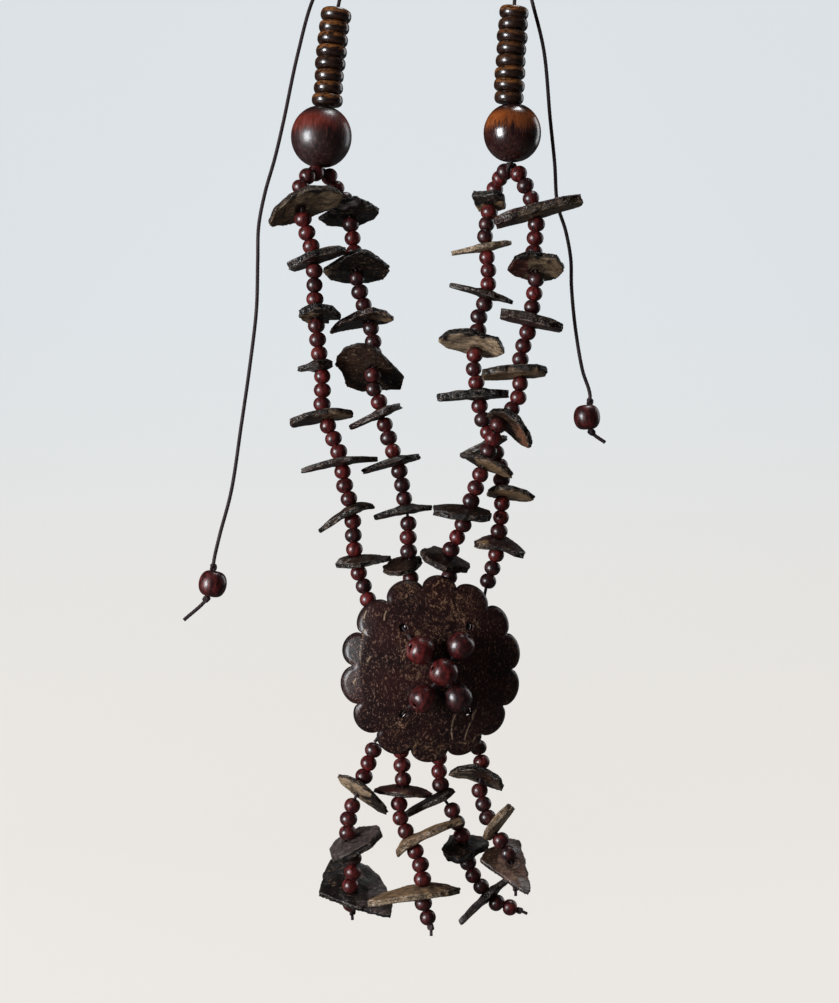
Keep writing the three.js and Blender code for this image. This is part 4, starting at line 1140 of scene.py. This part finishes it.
def buildPendant():
    piece = pendantDisc()
    places = [(a * pendant["holeAcross"], b * pendant["holeUp"]) for a in (-1, 1) for b in (-1, 1)] + [(0, 0)]
    drills = []
    sides, depth = 24, 20
    for k, (x, z) in enumerate(places):
        turns = 2 * math.pi * np.arange(sides) / sides
        vertices = [
            (x + pendant["holeRadius"] * math.sin(t), y, z + pendant["holeRadius"] * math.cos(t))
            for y in (-depth, depth) for t in turns
        ]
        faces = [*ringFaces(2, sides), tuple(range(sides - 1, -1, -1)), tuple(range(sides, 2 * sides))]
        drills.append(meshPiece(f"drill_{k}", vertices, faces, None, smooth=False))
    drill = joinPieces("drills", drills)
    cut = bmesh.new()
    cut.from_mesh(drill.data)
    bmesh.ops.recalc_face_normals(cut, faces=cut.faces)
    cut.to_mesh(drill.data)
    cut.free()
    modifier = piece.modifiers.new("holes", "BOOLEAN")
    modifier.operation = "DIFFERENCE"
    modifier.solver = "EXACT"
    modifier.object = drill
    mesh = applyModifiers(piece)
    bpy.data.objects.remove(drill)
    mesh.shade_smooth()
    paintPendant(piece)
    mesh.transform(pendantMove)
    finishPiece(piece, "pendant", "pendant_shell", "pendant_disc")
    print("pendant", len(mesh.polygons), "faces")


buildPendant()

# Five beads on the pendant's face, tied through to a button knot in its hollow
faceBeads = {
    "radius": 4.4, "length": 8.1, "fullness": 0.85, "bore": 0.7, "seat": 0.3, "lift": 1.2,
    "shares": [[-0.235, 0.23], [0.2, 0.27], [-0.2, -0.276], [0.176, -0.276]],
    "bores": [(0.9, 0.35, -0.4), (-0.7, 0.5, -0.8), (0.9, 0.4, 0.5), (-0.6, 0.6, 0.8), (0.9, 0.2, -0.4)],
    "tones": [0.85, 0.45, 0.5, 0.08, 0.72],
    "buttonRadius": 1.7,
    "button": {"radius": 1.9, "length": 3.0, "cord": 0.55},
    "stopKnot": {"radius": 2.1, "length": 2.6, "cord": 0.75},
    "stopBehind": 1.6,
    "backKnot": {"radius": 2.2, "length": 4.0, "cord": 0.6},
}
faceSeat = pendant["domeRadius"] + pendant["thickness"] / 2 + faceBeads["seat"] + faceBeads["radius"]
middleBead = np.array([0, domeCentre - faceSeat - faceBeads["lift"], 0])
hollowDepth = domeCentre - pendant["domeRadius"] + pendant["thickness"] / 2
buttonDepth = hollowDepth + faceBeads["seat"] + faceBeads["buttonRadius"]
backKnot = np.array([0,
    buttonDepth + faceBeads["buttonRadius"] + faceBeads["seat"] + faceBeads["backKnot"]["radius"], 0])


def onFace(share):
    x, z = (part * pendant["radius"] for part in share)
    return np.array([x, domeCentre - math.sqrt(faceSeat**2 - x**2 - z**2), z])


def toWorld(place):
    return np.array(pendantMove @ (Vector(place) * mm)) / mm


def laidCord(name, points, radius=0.55):
    route = Route(points)
    return cordPiece(name, route.stretch(0, route.length, 0.6), waxed, radius, 2.6)


def buildFaceBeads():
    centres = [onFace(share) for share in faceBeads["shares"]]
    shape = turnedBead(
        "faceBeadShape", faceBeads["radius"], faceBeads["length"], faceBeads["bore"], faceBeads["fullness"],
        sides=36, rows=30,
    )
    places = [toWorld(place) for place in (*centres, middleBead)]
    turn = np.array(pendantTurn.to_3x3())
    bores = [turn @ unit(np.array(b, float)) for b in faceBeads["bores"]]
    strung = stringBeads("face_beads", places, bores, shape, lacquer, 31, 0.97, 1.0, 0.05)
    bpy.data.objects.remove(shape)
    beadTones = np.repeat(faceBeads["tones"], len(strung.data.vertices) // len(places))
    strung.data.attributes["beadTone"].data.foreach_set("value", beadTones.astype(np.float32))
    finishPiece(strung, "pendant", "small_bead", "centre_beads")
    cords = []
    for k, centre in enumerate(centres):
        x = math.copysign(pendant["holeAcross"], centre[0])
        z = math.copysign(pendant["holeUp"], centre[2])
        surface = float(domeAt(math.hypot(x, z)))
        front = np.array([x, surface - 0.5, z])
        behind = np.array([x, surface + pendant["thickness"] + faceBeads["stopBehind"], z])
        inward = np.array([x * 0.9, surface - 0.9, z * 0.88])
        tie = [toWorld(p) for p in (behind, front, inward, centre, (centre + middleBead) / 2, middleBead)]
        cords.append(laidCord(f"face_tie_{k}", tie, 0.6))
        back = [toWorld(p) for p in (behind, (behind + backKnot) / 2 + (0, 0.6, 0), backKnot)]
        cords.append(laidCord(f"face_tie_back_{k}", back))
        cords.append(knotPiece(f"face_stop_{k}", toWorld(behind), pendantY, faceBeads["stopKnot"], k))
    stem = [toWorld(p) for p in (middleBead, (0, (middleBead[1] + buttonDepth) / 2, 0), (0, buttonDepth, 0))]
    cords.append(laidCord("face_stem", stem))
    cords.append(knotPiece("button_knot", toWorld((0, buttonDepth, 0)), pendantY, faceBeads["button"]))
    ties = joinPieces("face_ties", cords)
    finishPiece(ties, "pendant", "cord", "centre_beads")


buildFaceBeads()
print("face beads done")

# Fringe strands below the pendant
fringes = {
    "fringe_1": {
        "seed": 41, "origin": [-16.2, -5.2, -291],
        "route": [
            [-16.9, -5.3, -294], [-18.5, -5.2, -298], [-19.8, -5, -302], [-21.6, -4.6, -306.3],
            [-23.2, -4.2, -310.5], [-24.5, -3.6, -315.5], [-24.5, -3.2, -320], [-23.4, -3, -324.3],
            [-22.6, -3.4, -328.4], [-23.4, -4, -332.6], [-23.8, -3, -336.6], [-23.8, -0.9, -340],
            [-23.5, 1.2, -343.6], [-23.2, 2.4, -350],
        ],
    },
    "fringe_2": {
        "seed": 42, "origin": [-8, -3.1, -291],
        "route": [
            [-8, -3.3, -295], [-7.4, -3.9, -301], [-7.8, -4.5, -307], [-8.8, -5, -311], [-7.4, -5.5, -315.8],
            [-5.6, -6, -319.8], [-3.6, -6.6, -323.8], [-2, -7.2, -327.8], [-1.3, -7.9, -333],
            [-1.2, -8.3, -338], [-0.7, -8.5, -342], [1, -8.6, -345.5], [1.4, -8.7, -353],
        ],
    },
    "fringe_3": {
        "seed": 43, "origin": [3.6, 0, -291],
        "route": [
            [3.8, 0.4, -296], [4, 1.2, -302], [5.3, 2, -308.7], [7.8, 2.8, -312.5], [9.6, 3.4, -317],
            [11.2, 4, -321.4], [12.4, 4.4, -326.3], [13.4, 4.8, -331], [15.8, 5, -335.5], [20.4, 5, -340.6],
            [23.4, 5, -343.4], [27.2, 5, -344], [31, 5, -345.5],
        ],
    },
    "fringe_4": {
        "seed": 44, "origin": [15.6, 3.2, -291],
        "route": [
            [16.5, 3, -295], [17.2, 2.6, -299], [16.8, 2.2, -302.3], [16.4, 1.6, -306], [17.7, 0.8, -311],
            [19.4, 0, -316], [21.6, -1, -319.4], [24, -2, -323.2], [25.8, -2.1, -326.8], [27, -1.2, -330.6],
            [27.5, 0, -334.4], [27.8, 0.8, -341],
        ],
    },
}
fringeKnot = {"radius": 1.2, "length": 2.2, "cord": 0.45, "end": 1.6}


def buildFringe(name, fringe):
    start = jointPlace(f"{name}_swing") - np.array([0, 0, swingGap / 2])
    route = Route(shifted(fringe["route"], fringe["origin"], start))
    places = easedApart(beadPlaces(name, route, beads["radius"], smallBeadGap))
    print(name, len(places), "beads")
    strungBeads.extend(route.point(s) for s in places)
    strung = stringBeads(
        f"{name}_beads", [route.point(s) for s in places], [route.along(s) for s in places],
        beadShape, lacquer,
        fringe["seed"],
    )
    finishPiece(strung, name, "small_bead", name)
    knotAt = places[-1] + (beads["length"] + fringeKnot["length"]) / 2
    end = knotAt + fringeKnot["length"] / 2 + fringeKnot["end"]
    path = route.stretch(0, end, strandCord["step"])
    cord = cordPiece(f"{name}_cord", path, waxed, strandCord["radius"], strandCord["pitch"])
    finishPiece(cord, name, "cord", name)
    knot = knotPiece(f"{name}_end_knot", route.point(knotAt), route.along(knotAt), fringeKnot)
    finishPiece(knot, name, "cord", name)


for fringeName, fringe in fringes.items():
    buildFringe(fringeName, fringe)


# Cords behind the pendant, through one knot
def buildBackCords():
    tops = []
    for name, strand in strands.items():
        side = sides[strand["side"]]
        route = Route(shifted(strand["route"], side["knot"], side["knotPlace"]))
        samples = np.arange(route.length * 4) / 4
        s = next((s for s in samples if route.point(s)[2] < strandEndHeight), route.length)
        tops.append(route.point(s) - np.array([0, 0, swingGap]))
    feet = [jointPlace(f"{name}_swing") + np.array([0, 0, swingGap / 2]) for name in fringes]
    knot = toWorld(backKnot)
    pieces = []
    for k, end in enumerate([*tops, *feet]):
        bow = end * 0.6 + knot * 0.4 + 0.3 * pendantY
        pieces.append(laidCord(f"back_cord_{k}", [end, bow, knot]))
    pieces.append(knotPiece("back_knot", knot, pendantX, faceBeads["backKnot"]))
    cords = joinPieces("back_cords_laid", pieces)
    finishPiece(cords, "pendant", "cord", "back_cords")


buildBackCords()
print("fringes and back cords done")

# Shell chips. A chip is the CAD chip remeshed fine, with its broken edge worked and its faces toned.
tones = {
    "black": (0.009, 0.006, 0.005),
    "umber": (0.032, 0.015, 0.009),
    "plum": (0.048, 0.020, 0.018),
    "maroon": (0.060, 0.014, 0.010),
    "slate": (0.070, 0.052, 0.050),
    "ash": (0.18, 0.155, 0.145),
    "olive": (0.145, 0.098, 0.057),
    "tan": (0.25, 0.152, 0.082),
    "beige": (0.40, 0.28, 0.175),
    "rust": (0.15, 0.062, 0.032),
    "clay": (0.125, 0.068, 0.048),
    # the pale tone of the rims' painted highlight and wear
    "wearAndRimHighlight": (0.34, 0.28, 0.23),
}


def look(top, under, edge, gloss, *patches):
    return {"top": top, "under": under, "edge": edge, "gloss": gloss, "patches": patches}


# A patch is a direction across and deep from the hole, how far out it starts and its tone. It is on both faces,
# or only on the one that says under.
chips = {
    "left_outer": [
        look("umber", "olive", "umber", 0.3, ((0, -1), 0.42, "black")),
        look("black", "umber", "black", 0.4, ((-1, 0), 0.35, "ash")),
        look("black", "tan", "black", 0.5, ((1, -0.2), 0.1, "black"), ((0, -1), 0.2, "black")),
        look("umber", "black", "black", 0.4, ((-1, 0), 0.2, "ash")),
        look("plum", "tan", "umber", 0.4, ((-1, 0), 0.1, "umber")),
        look("slate", "plum", "umber", 0.4, ((1, 0), 0.2, "black")),
        look("umber", "olive", "black", 0.4, ((1, 0), 0.2, "black")),
        look("umber", "black", "black", 0.3, ((-1, 0), 0.3, "ash"), ((1, 0), 0.3, "slate")),
    ],
    "left_inner": [
        look("umber", "black", "black", 0.5, ((-0.3, -1), 0.3, "ash")),
        look("umber", "black", "black", 0.9, ((-1, -0.3), 0.6, "olive")),
        look("slate", "umber", "plum", 0.5, ((1, 0), 0.3, "tan", "under")),
        look("umber", "umber", "black", 0.5, ((0.6, 1), 0.2, "black")),
        look("plum", "umber", "plum", 0.4),
        look("black", "plum", "black", 0.5),
        look("black", "umber", "black", 0.4),
        look("umber", "umber", "umber", 0.5, ((0, -1), 0.8, "rust")),
    ],
    "right_back": [
        look("black", "tan", "black", 0.4, ((-0.2, -1), 0.05, "black"), ((-1, 0), 0.4, "black")),
        look("beige", "beige", "beige", 0.3),
        look("umber", "black", "umber", 0.4),
        look("black", "beige", "black", 0.4, ((0, -1), 0.5, "black")),
        look("black", "black", "black", 0.4),
        look("umber", "black", "umber", 0.4, ((-1, 0), 0.4, "ash")),
        look("umber", "tan", "black", 0.8),
        look("plum", "black", "umber", 0.5, ((-1, -0.4), 0.5, "tan")),
    ],
    "right_front": [
        look("plum", "olive", "umber", 0.4, ((-1, 0), 0.3, "maroon")),
        look("black", "olive", "black", 0.4, ((-1, 0), 0.05, "maroon"), ((0, -1), 0.55, "black")),
        look("umber", "plum", "umber", 0.4),
        look("umber", "tan", "black", 0.4),
        look("black", "umber", "black", 0.8, ((1, 0), 0.5, "rust"), ((-0.3, 1), 0.5, "ash")),
        look("umber", "tan", "umber", 0.4, ((-1, 0), 0.2, "black")),
        look("umber", "black", "black", 0.5, ((-1, 0), 0.6, "slate")),
        look("umber", "black", "umber", 0.4, ((0.6, -1), 0.6, "tan")),
    ],
    "fringe_1": [
        look("umber", "beige", "umber", 0.5, ((1, 0), 0.2, "black")),
        look("slate", "black", "black", 0.5),
        # The slate patch at this chip's right is painted sheen
        look("black", "black", "black", 0.7, ((1, 0), 0.3, "slate")),
    ],
    "fringe_2": [
        look("maroon", "black", "umber", 0.6, ((0.2, -1), 0.55, "tan")),
        look("tan", "beige", "tan", 0.3),
        look("tan", "beige", "beige", 0.5, ((1, 0), 0.3, "umber")),
    ],
    "fringe_3": [
        look("black", "umber", "umber", 0.6),
        # The slate patch towards this chip's back is painted sheen on its top
        look("black", "black", "black", 0.8, ((-0.3, 1), 0.3, "slate")),
        look("black", "black", "slate", 0.9, ((-1, 0), 0.6, "ash")),
    ],
    "fringe_4": [
        look("black", "umber", "black", 0.5, ((-0.4, 0.2), 0.3, "beige", "under")),
        look("tan", "beige", "tan", 0.4),
        look("clay", "clay", "umber", 0.5, ((-1, 0.2), 0.4, "umber"), ((0.4, -1), 0.6, "ash")),
    ],
}
chipWork = {
    "voxel": 0.34,
    "settle": 4,  # rounds of smoothing that wear the cut edges round
    "bite": 0.85,  # how deep the broken edge is bitten, and how coarse its grain is
    "grain": 0.26,
    "wave": 0.3,
    "swell": 0.16,
    "seatRadius": 0.9,  # the shell is thickest round its hole, up to the beads on both sides
    "seatEnd": 4.3,
    "seatGap": 0.1,
    "seatMost": 0.55,
    # strength of the pale rim line: painted highlight and wear
    "rimHighlightAndWear": 0.7,
    "edgeFacing": (0.86, 0.4),  # where a face turns into the edge, and over how much
    "edgeFrom": 2.4,  # no edge is this close to the hole, and nothing is pushed closer than the next
    "pushFrom": 2.0,
    "grainSizes": {"coarse": 0.4, "fine": 1.5, "slow": 0.2},
    "beadReach": (3, 2, 9),  # a bead that seats it is this near its axis, and between these along it
    # how far out from the hole the shell is darkened, over how much that fades, and how dark it gets
    "holeDarkening": (3.4, 1.6, 0.6),
}
# Millimetres taken off the rim, seat and hole of the chips that pass close to something when they turn
notEased = {"rim": 0, "seat": 0, "hole": 0}
easedChips = {
    "chip_left_outer_1": {"rim": 0, "seat": 0.25, "hole": 0.7},
    "chip_fringe_1_1": {"rim": 0.5, "seat": 0, "hole": 0},
    "chip_fringe_2_1": {"rim": 0.5, "seat": 0.5, "hole": 0},
}
for number, rimEase in ((4, 0.45), (8, 0.5)):
    for strandName in ("left_outer", "left_inner"):
        easedChips[f"chip_{strandName}_{number}"] = {"rim": rimEase, "seat": 0, "hole": 0}


def fineMesh(node):
    source = frame["nodes"][node].data.copy()
    work = bmesh.new()
    work.from_mesh(source)
    bmesh.ops.remove_doubles(work, verts=work.verts, dist=0.001 * mm)
    work.to_mesh(source)
    work.free()
    piece = bpy.data.objects.new(f"{node}_shell", source)
    bpy.context.scene.collection.objects.link(piece)
    remesh = piece.modifiers.new("fine", "REMESH")
    remesh.mode = "VOXEL"
    remesh.voxel_size = chipWork["voxel"] * mm
    relax = piece.modifiers.new("settle", "SMOOTH")
    relax.factor = 0.5
    relax.iterations = chipWork["settle"]
    applyModifiers(piece)
    return piece


def chipFrame(node):
    # The chip's hole, and its own directions: across, deep and up through its thickness
    hole = jointPlace(node.replace("chip_", "") + "_chip_turn")
    places = nodeVertices(node) - hole
    _, _, axes = np.linalg.svd(places - places.mean(axis=0), full_matrices=False)
    lift = axes[2] * (1 if axes[2][2] > 0 else -1)
    across = unit(np.array([1.0, 0, 0]) - lift * lift[0])
    return hole, across, np.cross(lift, across), lift


def seatOnBeads(node, places, normals, hole):
    # Builds the shell up round its hole to where the beads above and below it end
    axis = jointAxis(node.replace("chip_", "") + "_chip_turn")
    along = (places - hole) @ axis
    out = np.linalg.norm(places - hole - np.outer(along, axis), axis=1)
    beadAlong = (strungBeads - hole) @ axis
    beadOut = np.linalg.norm(strungBeads - hole - np.outer(beadAlong, axis), axis=1)
    share = np.clip((out - beads["bore"]) / (beads["radius"] - beads["bore"]), 0, 1)
    halfBead = (beads["length"] + beads["touch"]) / 2 * np.sqrt(1 - share**2)
    fade = np.clip((chipWork["seatEnd"] - out) / (chipWork["seatEnd"] - chipWork["seatRadius"]), 0, 1)
    fade = fade * fade * (3 - 2 * fade)
    around, first, last = chipWork["beadReach"]
    for side in (-1, 1):
        near = side * beadAlong[(beadOut < around) & (side * beadAlong > first) & (side * beadAlong < last)]
        if len(near) == 0:
            continue
        room = near.min() - halfBead - chipWork["seatGap"] - easedChips.get(node,
            notEased)["seat"] - side * along
        rising = (side * (normals @ axis) > 0.15) & (out > chipWork["seatRadius"])
        lift = np.where(rising, np.clip(room, 0, chipWork["seatMost"]) * fade, 0)
        places = places + np.outer(side * lift, axis)
    return places


def chipPiece(node, chipLook):
    piece = fineMesh(node)
    mesh = piece.data
    count = len(mesh.vertices)
    places = meshPlaces(mesh)
    normals = np.empty(count * 3)
    mesh.vertices.foreach_get("normal", normals)
    normals = normals.reshape(-1, 3)
    hole, across, deep, lift = chipFrame(node)
    local = places - hole
    u, v = local @ across, local @ deep
    reach = np.hypot(u, v)
    farthest = reach.max()
    facing = normals @ lift
    turnsAt, turnsOver = chipWork["edgeFacing"]
    edge = np.clip((turnsAt - np.abs(facing)) / turnsOver, 0, 1)
    edge[reach < chipWork["edgeFrom"]] = 0
    sizes = chipWork["grainSizes"]
    coarse = np.array([noise.noise(Vector(p) * sizes["coarse"]) for p in places])
    fine = np.array([noise.fractal(Vector(p) * sizes["fine"], 0.7, 2.2, 3) for p in places])
    slow = np.array([noise.noise(Vector(p) * sizes["slow"] + Vector((7, 3, 1))) for p in places])
    push = edge * (chipWork["bite"] * (coarse - 0.15) + chipWork["grain"] * fine)
    push += (1 - edge) * (chipWork["wave"] * slow + chipWork["swell"] + 0.05 * fine)
    push[reach < chipWork["pushFrom"]] = 0
    ease = easedChips.get(node, notEased)
    push -= ease["rim"] * np.clip((reach / farthest - 0.35) / 0.3, 0, 1)
    outward = (np.outer(u, across) + np.outer(v, deep)) / np.maximum(reach, 0.1)[:, None]
    places = places + outward * (ease["hole"] * np.clip((2.2 - reach) / 0.8, 0, 1))[:, None]
    places = seatOnBeads(node, places + normals * push[:, None], normals, hole)
    mesh.vertices.foreach_set("co", (places * mm).ravel())
    tone = np.where((facing > 0)[:, None], tones[chipLook["top"]], tones[chipLook["under"]])
    for direction, start, name, *face in chipLook["patches"]:
        direction = unit(np.array(direction, float))
        share = (u * direction[0] + v * direction[1]) / farthest
        weight = np.clip((share + 0.5 * coarse - start) / 0.12, 0, 1)
        if "under" in face:
            weight = weight * (facing < 0)
        tone = tone * (1 - weight)[:, None] + np.array(tones[name]) * weight[:, None]
    worked = 0.92 * edge * np.clip(0.85 + 1.5 * coarse, 0, 1)
    tone = tone * (1 - worked)[:, None] + np.array(tones[chipLook["edge"]]) * worked[:, None]
    # A pale line along each rim, where a face turns into the broken edge: painted highlight, and some edge wear
    corner = np.exp(-(((np.abs(facing) - 0.7) / 0.12) ** 2)) * (reach > 3)
    wearAndRimHighlight = chipWork["rimHighlightAndWear"] * corner * np.clip(0.35 + 2.2 * slow + 0.6 * fine, 0, 1)
    tone = tone * (1 - wearAndRimHighlight)[:, None] + np.array(tones["wearAndRimHighlight"]) * wearAndRimHighlight[:, None]
    # The shell is darkened towards its hole, round where the beads sit against it
    darkeningEnd, darkeningFade, darkeningMost = chipWork["holeDarkening"]
    holeDarkening = np.clip((darkeningEnd - reach) / darkeningFade, 0, 1) * darkeningMost
    tone = tone * (1 - holeDarkening)[:, None] + np.array(tones["black"]) * holeDarkening[:, None]
    rgba = np.column_stack([tone, np.ones(count)]).astype(np.float32)
    colours = mesh.color_attributes.new("shellTone", "FLOAT_COLOR", "POINT")
    colours.data.foreach_set("color", rgba.ravel())
    gloss = np.full(count, chipLook["gloss"])
    writeValues(mesh, "brokenEdge", edge)
    writeValues(mesh, "shellGloss", gloss)
    mesh.materials.clear()
    mesh.materials.append(shellLook)
    mesh.shade_smooth()
    slot = next(part["material_slot"] for part in frame["record"]["subparts"] if part["node"] == node)
    finishPiece(piece, node, slot, node)


strungBeads = np.array(strungBeads)
for strandName, looks in chips.items():
    for k, chipLook in enumerate(looks):
        chipPiece(f"chip_{strandName}_{k + 1}", chipLook)
    print(strandName, "chips done")

for shape in (beadShape, rondelleShape):
    bpy.data.objects.remove(shape)
